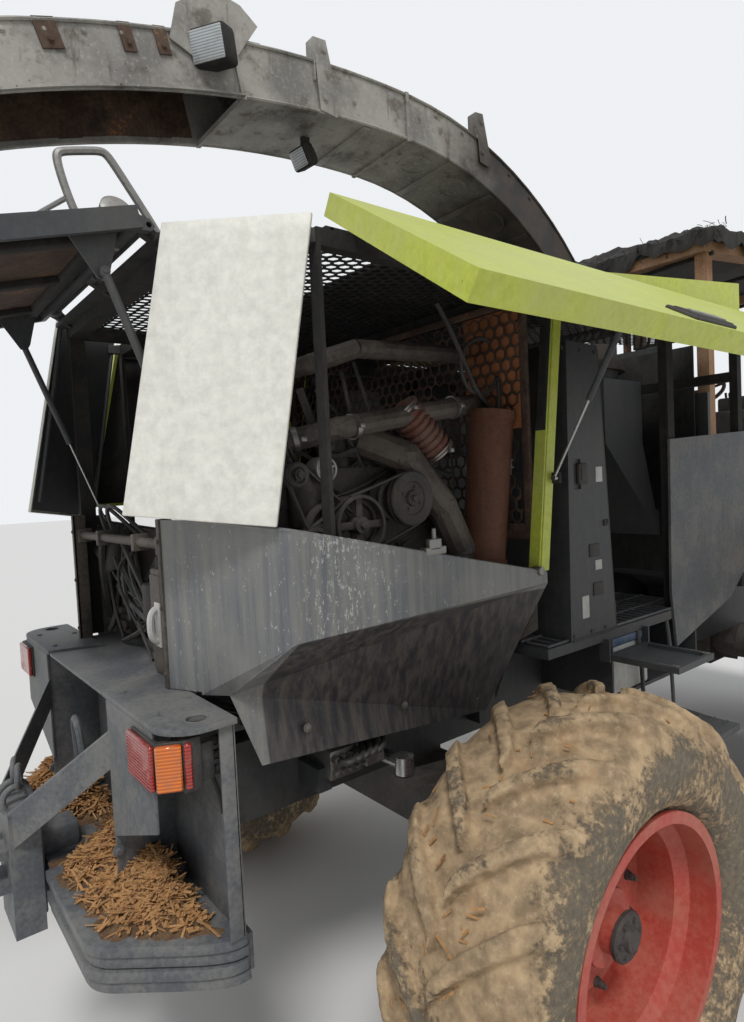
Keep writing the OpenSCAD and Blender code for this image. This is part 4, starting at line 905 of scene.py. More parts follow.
def flap_at(side, open_deg, u, y, v):
    """A point on a side flap: u from the hinge to the free edge, v to the outside."""
    a = math.radians(open_deg)
    x = BODY_X + u * math.cos(a) + v * math.sin(a)
    z = HOOD_Z - u * math.sin(a) + v * math.cos(a)
    return at(side * x, y, z)


def hatch_at(x, u, v):
    """A point on the rear hatch: u from its hinge to its free edge, v to the outside."""
    a = math.radians(HATCH_SLOPE)
    return at(x, HATCH_HINGE_Y - u * math.cos(a) - v * math.sin(a),
              HOOD_Z - u * math.sin(a) + v * math.cos(a))


class FlapsOperator(bpy.types.Operator):
    """Lines the side flaps and adds ribs, the handle recess and its bolts"""
    bl_idname = "harvester.flaps"
    bl_label = "Side flaps"

    def execute(self, context):
        for side, word, deg in FLAP_SLOPES:
            def spot(u, y, v):
                return flap_at(side, deg, u, y, v)
            down = spot(0, 0, -1) - spot(0, 0, 0)
            body = "side_flap_" + word
            bm = bmesh.new()
            rear = [(34, -676), (796, -846)]
            corners = [spot(rear[0][0], rear[0][1], 34), spot(rear[1][0], rear[1][1], 34),
                       spot(796, 1996, 34), spot(34, 1996, 34)]
            # A dark sheet over the flap's inner face, darker than the lime paint: painted shade inside the
            # flap.
            plate(bm, corners, down * 3, 0)
            finish_piece(bm, body + "_lining", body, "char")
            bm = bmesh.new()
            for y in (-420, 160, 700, 1330, 1760):
                slab(bm, basis(spot(415, y, 22), spot(1, y, 0) - spot(0, y, 0), down), (740, 46, 20), 5)
            for u, y, long in ((60, 620, 2580), (740, -220, 900), (740, 1140, 1540)):
                slab(bm, basis(spot(u, y, 25), (0, 1, 0), down), (long, 40, 10), 3)
            finish_piece(bm, body + "_ribs", body, "dark")
            bm = bmesh.new()
            up = -down
            grip = basis(spot(738, 110, 55), (0, 1, 0), up)
            slab(bm, grip, (240, 100, 16), 6, 3)
            slab(bm, basis(spot(742, 110, 63), (0, 1, 0), up), (216, 74, 6), 2.5, 2)
            finish_piece(bm, body + "_handle", body, "hose")
            bm = bmesh.new()
            slab(bm, basis(spot(742, 140, 67), (0, 1, 0), up), (120, 40, 5), 2, 2)
            bar(bm, spot(742, 40, 64), spot(742, 40, 70), 16, segments=20, round_by=1.5)
            finish_piece(bm, body + "_latch", body, "zinc")
            bm = bmesh.new()
            bar(bm, spot(776, -829, 20), spot(776, -842, 20), 13, segments=18, round_by=1)
            bar(bm, spot(776, -835, 20), spot(776, -852, 20), 5, segments=10, round_by=0.5)
            finish_piece(bm, body + "_stud", body, "hose")
        return {"FINISHED"}


class HatchOperator(bpy.types.Operator):
    """Lines the rear hatch and adds its frame and handle"""
    bl_idname = "harvester.hatch"
    bl_label = "Rear hatch"

    def execute(self, context):
        side_axis, out = Vector((1, 0, 0)), hatch_at(0, 0, 1) - hatch_at(0, 0, 0)
        bm = bmesh.new()
        plate(bm, [hatch_at(-566, 48, 27), hatch_at(566, 48, 27), hatch_at(566, 834, 27),
                   hatch_at(-566, 834, 27)], -out * 3, 0)
        finish_piece(bm, "rear_hatch_lining", "rear_hatch", "rust")
        bm = bmesh.new()
        for x in (-430, 0, 430):
            slab(bm, basis(hatch_at(x, 440, 14), hatch_at(0, 1, 0) - hatch_at(0, 0, 0), out), (770, 52, 24),
                 6)
        for u in (90, 790):
            slab(bm, basis(hatch_at(0, u, 12), side_axis, out), (1090, 46, 24), 6)
        finish_piece(bm, "rear_hatch_ribs", "rear_hatch", "char")
        bm = bmesh.new()
        slab(bm, basis(hatch_at(0, 700, 52), side_axis, out), (300, 120, 8), 4, 2)
        tube(bm, [hatch_at(-110, 745, 52), hatch_at(-110, 745, 78), hatch_at(-90, 745, 84),
                  hatch_at(90, 745, 84), hatch_at(110, 745, 78), hatch_at(110, 745, 52)], 8)
        finish_piece(bm, "rear_hatch_handle", "rear_hatch", "hose")
        return {"FINISHED"}


class CornersOperator(bpy.types.Operator):
    """Builds the cream corner panels with their folded rims"""
    bl_idname = "harvester.corners"
    bl_label = "Corner panels"

    def execute(self, context):
        outer = [Vector(p) for p in ((608, -1190, 2090), (888, -878, 2040), (888, -712, 2900),
                                     (608, -1030, 2900))]
        bm = bmesh.new()
        inward = (Vector((-0.75, 0.66, 0.0)))
        rows, columns = 14, 8
        grid = bmesh.ops.create_grid(bm, x_segments=columns, y_segments=rows, size=0.5)
        for vert in grid["verts"]:
            s, t = vert.co.x + 0.5, vert.co.y + 0.5
            low, high = outer[0].lerp(outer[1], s), outer[3].lerp(outer[2], s)
            p = low.lerp(high, t) + inward * 2
            dent = noise.noise(p * 0.006) * 3.0 * min(s, 1 - s, t, 1 - t) * 4
            p += inward * max(dent, 0)
            vert.co = at(p.x, p.y, p.z)
        edges = [e for e in bm.edges if e.is_boundary]
        rim = bmesh.ops.extrude_edge_only(bm, edges=edges)
        verts = verts_in(rim["geom"])
        bmesh.ops.translate(bm, verts=verts, vec=inward * 14 * MM)
        bmesh.ops.recalc_face_normals(bm, faces=bm.faces)
        fold = [e for e in bm.edges if len(e.link_faces) == 2 and e.calc_face_angle(0) > 1.0]
        bevel(bm, fold, 4, 3)
        bmesh.ops.solidify(bm, geom=list(bm.faces), thickness=2.5 * MM)
        mirrored(bm)
        piece = finish_piece(bm, "corner_panels_folded", MACHINE, "cream", 50)
        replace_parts(piece, "corner_panels")
        bm = bmesh.new()
        plate(bm, [at(840, -690.3, 2825), at(871, -690.3, 2825), at(871, -716, 2825), at(840, -750, 2825)],
              mm(0, 0, 40), 2)
        for low, high in (((606, -1150, 2130), (606, -1020, 2860)), ((864, -862, 2090), (864, -730, 2860))):
            a, b = Vector(low) + inward * 12, Vector(high) + inward * 12
            tube(bm, [at(*a), at(*b)], 9, smooth=False)
        back = [Vector(p) + inward * 17 for p in ((616, -1181, 2100), (880, -888, 2050), (880, -722, 2890),
                                                  (616, -1030, 2890))]
        plate(bm, [at(*p) for p in back], inward * 2 * MM, 0)
        mirrored(bm)
        finish_piece(bm, "corner_panel_stiffeners", MACHINE, "dark")
        return {"FINISHED"}


class ScreensOperator(bpy.types.Operator):
    """Builds the perforated bay screen and hood roof, the burnt sheets near them, and a bright rusty sheet
    behind the screen whose light tone is painted sunlight
    """
    bl_idname = "harvester.screens"
    bl_label = "Screens"

    def execute(self, context):
        sizes = context.scene.harvester_sizes
        pitch, web = sizes.hole_pitch / MM, sizes.hole_web / MM

        def torn(x, y):
            return noise.noise(Vector((x * 0.004, y * 0.005, 7.0))) > -0.36

        bm = bmesh.new()
        honeycomb(bm, basis(at(-800, 266, 1990), (1, 0, 0), (0, -1, 0)), 31, 18, pitch, web, 3.0, torn)
        for x0, x1, z0, z1 in ((-838, 838, 2790, 2820), (-838, 838, 1900, 1960), (-838, -806, 1960, 2790),
                               (806, 838, 1960, 2790)):
            block(bm, x0, x1, 258, 276, z0, z1, 3)
        piece = finish_piece(bm, "bay_screen_holes", MACHINE, "rust")
        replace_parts(piece, "bay_screen")

        def roof(x, y):
            x, y = x - 858, y - 958
            if math.hypot(x, y - 1800) < 352 or y > 2000:
                return False
            return abs(x) < (585 if y < -628 else 855)

        bm = bmesh.new()
        honeycomb(bm, basis(at(-858, -958, 2873), (1, 0, 0), (0, 0, 1)), 39, 78, 45, 12, 4.0, roof)
        for x0, x1, y0, y1 in ((-600, 600, -970, -940), (-600, -572, -970, -640), (572, 600, -970, -640),
                               (-870, -842, -640, 2030), (842, 870, -640, 2030), (-870, -572, -655, -625),
                               (572, 870, -655, -625), (-870, -285, 2002, 2030),
                               (285, 870, 2002, 2030), (-842, 842, 480, 520)):
            block(bm, x0, x1, y0, y1, 2866, 2880, 2)
        piece = finish_piece(bm, "hood_roof_holes", MACHINE, "char")
        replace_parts(piece, "hood_roof")
        bm = bmesh.new()
        # A bright rusty sheet behind the bay screen: its light tone is painted sunlight seen through the
        # holes.
        block(bm, 500, 805, 286, 292, 2330, 2800, 3)
        finish_piece(bm, "painted_sunlight_sheet", MACHINE, "painted_sunlight_sheet")
        # The duct's red is its own colour; its finish is darkened as painted shade.
        bm = bmesh.new()
        turned(bm, [(0, 0), (92, 0), (92, 30), (84, 36), (84, 560), (92, 566), (92, 600), (0, 600)],
               basis(at(690, 140, 1800), (1, 0, 0), (0.04, 0.1, 1)), 40)
        finish_piece(bm, "reddened_duct", MACHINE, "copper_duct_in_painted_shade")
        bm = bmesh.new()
        block(bm, -842, 842, -330, 940, 2881, 2885, 1)
        block(bm, -590, 590, -1034, -966, 2860, 2878, 2)
        finish_piece(bm, "sooty_roof_sheets", MACHINE, "char")
        return {"FINISHED"}


class BandsOperator(bpy.types.Operator):
    """Adds the latches, folded edges and flanges of the side bands"""
    bl_idname = "harvester.bands"
    bl_label = "Side bands"

    def execute(self, context):
        bm = bmesh.new()
        block(bm, 868, 902, -352, -262, 1906, 1932, 4)
        block(bm, 880, 902, -336, -282, 1920, 1958, 5)
        tube(bm, [at(890, -306, 1940), at(890, -306, 1990)], 7, smooth=False)
        bar(bm, at(872, 217, 1790), at(912, 217, 1790), 17, segments=20, round_by=3)
        for y, z in ((-700, 1400), (-300, 1370), (60, 1310)):
            bolt(bm, at(702, y, z), (1, 0, 0.1), 9, 6)
        for x, z in ((700, 1400), (700, 1520), (740, 1640), (790, 1700)):
            bolt(bm, at(x, 134 + (x - 640) * 0.53, z), (0.4, -1, 0), 7, 6)
        mirrored(bm)
        finish_piece(bm, "side_band_latches", MACHINE, "zinc")
        bm = bmesh.new()
        plate(bm, [at(604, -988, 1558), at(604, -988, 2062), at(490, -1045, 2066), at(490, -1045, 1558)],
              mm(-2, 3, 0), 1)
        tube(bm, [at(606, -988, 2064), at(893, -840, 2028), at(893, 258, 1779)], 6, smooth=False)
        mirrored(bm)
        finish_piece(bm, "side_band_folds", MACHINE, "silver")
        bm = bmesh.new()
        block(bm, 470, 494, -1050, -1040, 1552, 2068, 2)
        block(bm, 470, 476, -1050, -1000, 1552, 2068, 2)
        plate(bm, [at(704, 166, 1272), at(704, 166, 1500), at(796, 214, 1512), at(858, 246, 1700),
                   at(858, 246, 1560), at(772, 201, 1494)], mm(-3, 6, 0), 1)
        for z in (1600, 1800, 2000):
            bolt(bm, at(482, -1050, z), (0, -1, 0), 6, 5)
        mirrored(bm)
        finish_piece(bm, "side_band_flanges", MACHINE, "pipe")
        return {"FINISHED"}


class PostsOperator(bpy.types.Operator):
    """Covers the leaning posts in lime, folds the hood's rear posts and fits out the service column"""
    bl_idname = "harvester.posts"
    bl_label = "Posts and service column"

    def execute(self, context):
        for word in ("right", "left"):
            node = "hood_side_" + word
            bm = bmesh.new()
            bm.from_mesh(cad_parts[node].data)
            bmesh.ops.remove_doubles(bm, verts=bm.verts, dist=1e-5)
            inner_face = [v for v in bm.verts
                          if abs(v.co.y - AXLE_Y + 0.640) < 5e-4 and abs(v.co.x) > 0.829 and v.co.z < 2.8205]
            bmesh.ops.translate(bm, verts=inner_face, vec=mm(0, -36, 0))
            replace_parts(finish_piece(bm, node + "_folded_post", MACHINE, "char", 30), node)
        bm = bmesh.new()
        plate(bm, [at(838, 236, 1784), at(888, 236, 1784), at(888, 378, 2822), at(838, 378, 2822)],
              mm(0, -8, 2), 2)
        plate(bm, [at(886, 236, 1784), at(886, 284, 1784), at(886, 426, 2822), at(886, 378, 2822)],
              mm(6, 0, 0), 2)
        mirrored(bm)
        finish_piece(bm, "post_covers", MACHINE, "lime")
        bm = bmesh.new()
        tube(bm, [at(874, 744, 1486), at(874, 664, 2650)], 10, smooth=False)
        tube(bm, [at(882, 744, 1486), at(882, 700, 1482), at(882, 430, 1482)], 7, smooth=False)
        for z in (1560, 2560):
            y = 744 - (z - 1486) * 80 / 1164
            bar(bm, at(872, y + 2, z - 30), at(872, y + 2, z + 30), 12, segments=16, round_by=2)
        block(bm, 876, 891, 500, 560, 2098, 2182, 5)
        tube(bm, [at(890, 512, 2112), at(893, 514, 2118), at(893, 516, 2164), at(890, 514, 2170)], 3)
        for y, z in ((560, 1800), (580, 1640)):
            block(bm, 882, 889, y, y + 70, z, z + 54, 3)
        block(bm, 882, 891, 668, 700, 1920, 1946, 3)
        bar(bm, at(884, 690, 1933), at(894, 690, 1933), 9, segments=12, round_by=2)
        for z in (1500, 2630):
            for y in (440, 560, 660):
                bolt(bm, at(884, y if z < 2000 else y - 20, z), (1, 0, 0), 6, 4)
        mirrored(bm)
        finish_piece(bm, "service_column_fittings", MACHINE, "hose")
        bm = bmesh.new()
        for y, z, tall in ((622, 2104, 62), (500, 1560, 90), (600, 1745, 40)):
            block(bm, 883, 886.5, y, y + 46, z, z + tall, 0.8, 1)
        mirrored(bm)
        finish_piece(bm, "service_column_plates", MACHINE, "white")
        return {"FINISHED"}


class EngineOperator(bpy.types.Operator):
    """Dresses the engine: pulleys, belts, pipes, bellows, alternator and wiring"""
    bl_idname = "harvester.engine"
    bl_label = "Engine bay"

    def execute(self, context):
        axis = Vector((1, 0, 0))

        def spoked(bm, y, z, r, x, wide, count):
            centre = at(x, y, z)
            profile = [(r - 12, -wide / 2), (r - 2, -wide / 2), (r, -wide / 2 + 4), (r - 7, 0),
                       (r, wide / 2 - 4), (r - 2, wide / 2), (r - 12, wide / 2), (r - 12, -wide / 2)]
            turned(bm, profile, basis(centre, (0, 1, 0), axis), 48)
            bar(bm, centre - axis * 40 * MM, centre + axis * (wide / 2 + 4) * MM, r * 0.28, segments=28,
                round_by=2)
            bar(bm, centre - axis * 30 * MM, centre + axis * (wide / 2 + 16) * MM, r * 0.12, segments=16,
                round_by=2)
            for lift in spokes(count):
                slab(bm, basis(centre + lift * r * 0.58 * MM, lift, axis), (r * 0.66, 26, wide * 0.3), 4)

        bm = bmesh.new()
        spoked(bm, -470, 2010, 100, 716, 34, 4)
        spoked(bm, -560, 2000, 92, 676, 30, 5)
        spoked(bm, -640, 1950, 66, 706, 26, 5)
        for y, z, r, x in ((-240, 2085, 96, 712), (-690, 2180, 40, 700)):
            centre = at(x, y, z)
            profile = [(0, -20), (r - 6, -20), (r, -14), (r, -6), (r - 8, -2), (r, 4), (r, 12), (r - 5, 16),
                       (r * 0.62, 13), (r * 0.58, 8), (r * 0.3, 8), (r * 0.26, 20), (0, 22)]
            turned(bm, profile, basis(centre, (0, 1, 0), axis), 56)
            for n in range(4):
                a = n * math.pi / 2 + 0.4
                bolt(bm, centre + Vector((0.008, math.sin(a) * r * 0.42 * MM, math.cos(a) * r * 0.42 * MM)),
                     axis, 6, 5)
            bolt(bm, centre + axis * 21 * MM, axis, 12, 9)
            bar(bm, centre - axis * 130 * MM, centre - axis * 18 * MM, 22, segments=18)
        finish_piece(bm, "engine_pulleys", MACHINE, "engine")

        bm = bmesh.new()
        routes = (((-470, 2010, 98), (-240, 2085, 94), 716), ((-470, 2010, 98), (-640, 1950, 64), 710),
                  ((-560, 2000, 90), (-690, 2180, 38), 700))
        for first, second, x in routes:
            a, b = Vector((0, first[0], first[1])), Vector((0, second[0], second[1]))
            along = (b - a).normalized()
            across = Vector((0, -along.z, along.y))
            for sign in (1, -1):
                p, q = a + across * sign * first[2], b + across * sign * second[2]
                middle = (p + q) / 2
                slab(bm, basis(at(x, middle.y, middle.z), q - p, axis), ((q - p).length, 8, 14), 1.5, 1)
        finish_piece(bm, "engine_belts", MACHINE, "hose")

        bm = bmesh.new()
        centre = at(690, 220, 2193)
        alternator = [(0, -80), (70, -80), (78, -60), (78, 30), (66, 44), (30, 50), (30, 70), (0, 70)]
        turned(bm, alternator, basis(centre, (0, 1, 0), axis), 40)
        for lift in spokes(14):
            slab(bm, basis(centre + lift * 58 * MM + axis * 42 * MM, lift, axis), (26, 7, 14), 1.5, 1)
        block(bm, 600, 690, 190, 256, 2063, 2133, 6)
        centre = at(690, -580, 2195)
        turned(bm, [(0, -60), (34, -60), (40, -40), (40, 10), (0, 12)], basis(centre, (0, 1, 0), axis), 32)
        for lift in spokes(5):
            slab(bm, basis(centre + lift * 22 * MM + axis * 14 * MM, lift, axis), (26, 9, 4), 1.5, 1)
        torus(bm, centre + axis * 14 * MM, axis, 36, 5, 28, 8)
        finish_piece(bm, "alternator_and_fan", MACHINE, "zinc")

        bm = bmesh.new()
        block(bm, 560, 592, -430, 0, 1600, 1880, 8)
        for n in range(6):
            y = -400 + n * 76
            block(bm, 480, 566, y, y + 58, 2112, 2168, 8)
            bar(bm, at(520, y + 29, 2160), at(520, y + 29, 2188), 12, segments=12, round_by=2)
            bar(bm, at(588, y + 20, 1836), at(606, y + 20, 1836), 26, segments=20, round_by=3)
            bolt(bm, at(592, y + 20, 1770), axis, 9, 8)
            bolt(bm, at(592, y + 20, 1640), axis, 9, 8)
        for n in range(9):
            block(bm, 585, 600, -425 + n * 46, -413 + n * 46, 1655, 1755, 3)
        bar(bm, at(640, -300, 1760), at(640, -130, 1760), 46, segments=28, round_by=8)
        bar(bm, at(640, -60, 1700), at(640, 60, 1700), 52, segments=28, round_by=8)
        block(bm, 592, 650, -330, -100, 1740, 1780, 6)
        bar(bm, at(600, -600, 2010), at(600, -600, 2180), 58, segments=30, round_by=10)
        block(bm, 560, 640, -680, -520, 2180, 2210, 6)
        for y in (-390, -150, 40):
            bar(bm, at(520, y, 2200), at(520, y, 2330), 30, 24, segments=22, round_by=4)
        finish_piece(bm, "engine_side", MACHINE, "engine")

        bm = bmesh.new()
        start, end = Vector((615, -175, 2405)), Vector((650, -40, 2250))
        for n in range(9):
            p = start.lerp(end, n / 8)
            torus(bm, at(*p), end - start, 58, 9, 36, 8)
        bar(bm, at(*start), at(*end), 58, segments=36)
        finish_piece(bm, "charge_air_bellows", MACHINE, "bellows")
        bm = bmesh.new()
        for p, axis_to, r in (((615, -175, 2405), (35, 135, -155), 66),
                              ((650, -40, 2250), (35, 135, -155), 66), ((640, -420, 2337), (0, 700, 111), 44),
                              ((640, 60, 2418), (0, 700, 111), 44), ((575, -610, 2296), (80, 160, 40), 44)):
            direction = Vector(axis_to).normalized()
            centre = at(*p)
            turned(bm, [(r - 6, -9), (r, -9), (r, 9), (r - 6, 9), (r - 6, -9)],
                   basis(centre, direction.orthogonal(), direction), 36)
            block(bm, p[0] + r - 8, p[0] + r + 14, p[1] - 10, p[1] + 10, p[2] - 8, p[2] + 8, 2)
        finish_piece(bm, "hose_clamps", MACHINE, "zinc")

        bm = bmesh.new()
        rng = random.Random(11)
        for n in range(26):
            y0, y1 = rng.uniform(-760, 120), rng.uniform(-760, 120)
            z0, z1 = rng.uniform(1900, 2600), rng.uniform(1850, 2300)
            x0, x1 = rng.uniform(420, 600), rng.uniform(560, 640)
            bend = Vector((rng.uniform(-40, 60), rng.uniform(-80, 80), rng.uniform(-160, -40)))
            a, b = Vector((x0, y0, z0)), Vector((x1, y1, z1))
            middle = (a + b) / 2 + bend
            tube(bm, [at(*a), at(*(a.lerp(middle, 0.6))), at(*middle), at(*(b.lerp(middle, 0.5))), at(*b)],
                 rng.choice((5, 7, 9, 13)), sides=2)
        ring = [at(700 + 10 * math.sin(a), 160 + 110 * math.cos(a),
                   2570 + 110 * math.sin(a)) for a in [k * math.pi / 6 for k in range(2, 13)]]
        tube(bm, ring + [at(690, 262, 2300)], 8)
        tube(bm, [at(700, -60, 2780), at(706, 0, 2700), at(712, 90, 2520), at(700, 150, 2440),
                  at(690, 258, 2400)], 9)
        finish_piece(bm, "engine_wiring", MACHINE, "hose")
        return {"FINISHED"}


class RearOpeningOperator(bpy.types.Operator):
    """Fills the rear opening with its tube bar, hoses, valves and the grey box"""
    bl_idname = "harvester.rear_opening"
    bl_label = "Rear opening"

    def execute(self, context):
        sizes = context.scene.harvester_sizes
        hose = sizes.hose_radius / MM
        bm = bmesh.new()
        bar(bm, at(-480, -1010, 1985), at(430, -1010, 1985), 16, segments=24, round_by=3)
        for x in (-470, -200, 200, 425):
            block(bm, x - 14, x + 14, -1034, -980, 1955, 2012, 4)
        finish_piece(bm, "rear_tube_bar", MACHINE, "pipe")
        bm = bmesh.new()
        block(bm, 250, 430, -1000, -860, 1550, 1900, 10)
        block(bm, 262, 418, -1006, -999, 1570, 1880, 5)
        finish_piece(bm, "filter_box", MACHINE, "pipe")
        bm = bmesh.new()
        tube(bm, [at(330, -1006, 1668), at(330, -1032, 1674), at(330, -1036, 1720), at(330, -1032, 1770),
                  at(330, -1006, 1776)], 12)
        block(bm, 308, 352, -1012, -1005, 1650, 1794, 3)
        finish_piece(bm, "filter_box_handle", MACHINE, "white")
        bm = bmesh.new()
        for x, z in ((-520, 1820), (-360, 1640), (-180, 1700), (-40, 1610)):
            block(bm, x - 60, x + 60, -900, -800, z - 70, z + 70, 8)
            for k in range(3):
                bar(bm, at(x - 36 + k * 36, -930, z + 30), at(x - 36 + k * 36, -895, z + 30), 15, segments=6,
                    round_by=2)
                bar(bm, at(x - 36 + k * 36, -915, z - 30), at(x - 36 + k * 36, -895, z - 30), 20, segments=18,
                    round_by=2)
        for x, z, r in ((-430, 1940, 46), (60, 1800, 60)):
            bar(bm, at(x, -900, z - 110), at(x, -900, z + 20), r, segments=28, round_by=8)
            bar(bm, at(x, -900, z + 20), at(x, -900, z + 44), r * 0.5, segments=18, round_by=3)
        block(bm, -560, 560, -780, -740, 1560, 1990, 10)
        finish_piece(bm, "rear_valves", MACHINE, "engine")
        bm = bmesh.new()
        rng = random.Random(23)
        for _ in range(22):
            x0, x1 = rng.uniform(-560, 160), rng.uniform(-560, 220)
            z0, z1 = rng.uniform(1750, 1980), rng.uniform(1545, 1750)
            y0, y1 = rng.uniform(-960, -860), rng.uniform(-960, -850)
            a, b = Vector((x0, y0, z0)), Vector((x1, y1, z1))
            sway = Vector((rng.uniform(-90, 90), rng.uniform(-60, 10), rng.uniform(-60, 60)))
            points = [a, a.lerp(b, 0.3) + sway, a.lerp(b, 0.7) + sway * 0.6, b]
            tube(bm, [at(*p) for p in points], rng.choice((hose, hose * 0.8, hose * 1.4, 6)), sides=2)
        for x in (-300, -210):
            tube(bm, [at(x, -960, 1985), at(x - 20, -990, 2080), at(x + 60, -1000, 2130),
                      at(x + 150, -980, 2080), at(x + 170, -900, 1990)], 8, sides=2)
        finish_piece(bm, "rear_hoses", MACHINE, "hose")
        return {"FINISHED"}


class DeckOperator(bpy.types.Operator):
    """Dresses the rear deck, the ballast plates, the hitch and the chaff on them"""
    bl_idname = "harvester.deck"
    bl_label = "Rear deck and ballast"

    def execute(self, context):
        sizes = context.scene.harvester_sizes
        bm = bmesh.new()
        rim = [(130, -1350), (600, -1350), (800, -1110), (838, -1045), (838, -1000), (130, -1000)]
        outline = rounded(rim, (10, 60, 40, 26, 10, 10))
        for n in range(4):
            inset = 1.0 - 0.006 * (n % 2)
            sheet(bm, [(x * inset, y * inset) for x, y in outline], 933 - n * 34, 28, round_by=6)
        sheet(bm, [(x * 0.965, y * 0.972) for x, y in outline], 836, 100)
        mirrored(bm)
        block(bm, -140, 140, -1330, -1010, 832, 958, 4)
        block(bm, -87, 25, -1336, -1218, 958, 1035, 4)
        piece = finish_piece(bm, "ballast_stack", MACHINE, "deck")
        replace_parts(piece, "ballast_plates")

        bm = bmesh.new()
        end = [(350, -1200)]
        end += [(750 + 110 * math.sin(k * math.pi / 16),
                 -1090 - 110 * math.cos(k * math.pi / 16)) for k in range(9)]
        end += [(860, -1008), (297, -1008)]
        sheet(bm, end, 1539, 17, [disc(790, -1090, 28)])
        plate(bm, [at(381, -1200, 1538), at(381, -1200, 1118), at(760, -1200, 1274), at(760, -1200, 1538)],
              mm(0, 8, 0), 1.5)
        block(bm, 388, 396, -1200, -1012, 960, 1540, 1.5)
        block(bm, 150, 845, -1018, -1010, 960, 1538, 1.5)
        block(bm, 837, 845, -1054, -1012, 962, 1540, 2)
        plate(bm, [at(396, -1196, 962), at(396, -1018, 962), at(396, -1018, 1000), at(396, -1180, 1000)],
              mm(60, 0, 0), 1.5)
        torus(bm, at(790, -1090, 1555), (0, 0, 1), 29, 2.5, 28, 8)
        bolt(bm, at(400, -1196, 1080), (1, 0, 0), 12, 12)
        for x, y in ((690, -1160), (610, -1040), (420, -1160)):
            bolt(bm, at(x, y, 1556), (0, 0, 1), 8, 5)
        mirrored(bm)
        centre = [(-342, -1196), (342, -1196), (290, -1010), (530, -1006), (530, -640), (-530, -640),
                  (-530, -1006), (-290, -1010)]
        sheet(bm, centre, 1536, 12)
        piece = finish_piece(bm, "rear_deck_plates", MACHINE, "deck")
        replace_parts(piece, "rear_deck")

        def inside(x, y):
            slant = -((x - 600) * 0.768 - (y + 1350) * 0.640)
            end_cut = -((x - 800) * 0.863 - (y + 1110) * 0.505)
            return min(x - 70, -1019 - y, y + 1350, slant, end_cut, 832 - x)

        def chaff_height(x, y):
            edge = inside(x, y) - 34
            lump = noise.fractal(Vector((x * 0.014, y * 0.014, 3.0)), 0.8, 2.1, 6)
            small = noise.noise(Vector((x * 0.06, y * 0.06, 1.0)))
            heap = 120 * math.exp(-((x - 230) / 120) ** 2 - ((y + 1130) / 90) ** 2)
            heap += 84 * math.exp(-((x - 560) / 170) ** 2 - ((y + 1100) / 100) ** 2)
            corner = 46 * math.exp(-((x - 420) / 90) ** 2 - ((y + 1050) / 60) ** 2)
            fade = max(0.0, min(1.0, edge / 70 + 0.5 * lump))
            return fade * (10 + heap + corner + 26 * lump + 9 * small)

        bm = bmesh.new()
        grid = bmesh.ops.create_grid(bm, x_segments=96, y_segments=42, size=0.5)
        outside = []
        for vert in grid["verts"]:
            x, y = 455 + vert.co.x * 772, -1184 + vert.co.y * 330
            if inside(x, y) < 12:
                outside.append(vert)
            vert.co = at(x, y, 960.5 + max(-1.5, chaff_height(x, y)))
        bmesh.ops.delete(bm, geom=outside, context="VERTS")
        low = bmesh.ops.extrude_edge_only(bm, edges=[e for e in bm.edges if e.is_boundary])["geom"]
        for vert in verts_in(low):
            vert.co.z = 958 * MM
        mirrored(bm)
        finish_piece(bm, "chaff_layer", MACHINE, "mulch", 70)
        bm = bmesh.new()
        rng = random.Random(31)
        while sizes.chaff_count * 6 > len(bm.verts) / 8:
            x, y = rng.uniform(90, 800), rng.uniform(-1330, -1025)
            high = chaff_height(x, y)
            if inside(x, y) < 40 or high < rng.uniform(0, 60):
                continue
            turn = rng.uniform(0, math.pi)
            long = rng.uniform(14, 60) if rng.random() < 0.85 else rng.uniform(60, 120)
            tip = Vector((math.cos(turn) * long, math.sin(turn) * long, rng.uniform(-0.35, 0.45) * long))
            lean = (rng.uniform(-0.6, 0.6), rng.uniform(-0.6, 0.6), 1)
            slab(bm, basis(at(x, y, 964 + high), tip, lean), (long, rng.uniform(3, 9), rng.uniform(1.2, 3)),
                 0)
        mirrored(bm)
        finish_piece(bm, "chaff_straws", MACHINE, "straw", 60, normals=False)

        bm = bmesh.new()
        for side in (1, -1):
            centre = at(side * 36, -1400, 1175)
            torus(bm, centre, (1, 0, 0.2 * side), 42, 11, 30, 10)
            torus(bm, centre + Vector((0, 0.01, 0.075)), (0.3, 1, 0), 34, 9, 30, 10)
        for turn in (-1, 1):
            tube(bm, [at(34 * turn, -1190, 1236), at(36 * turn, -1196, 1330), at(26 * turn, -1200, 1372),
                      at(0, -1202, 1384)], 12, sides=3)
        bar(bm, at(0, -1486, 860), at(0, -1486, 1085), 17, segments=24, round_by=3)
        torus(bm, at(0, -1486, 1100), (1, 0, 0), 22, 6, 24, 8)
        block(bm, -90, 90, -1362, -1340, 800, 1140, 5)
        finish_piece(bm, "hitch_shackles", MACHINE, "deck")
        return {"FINISHED"}


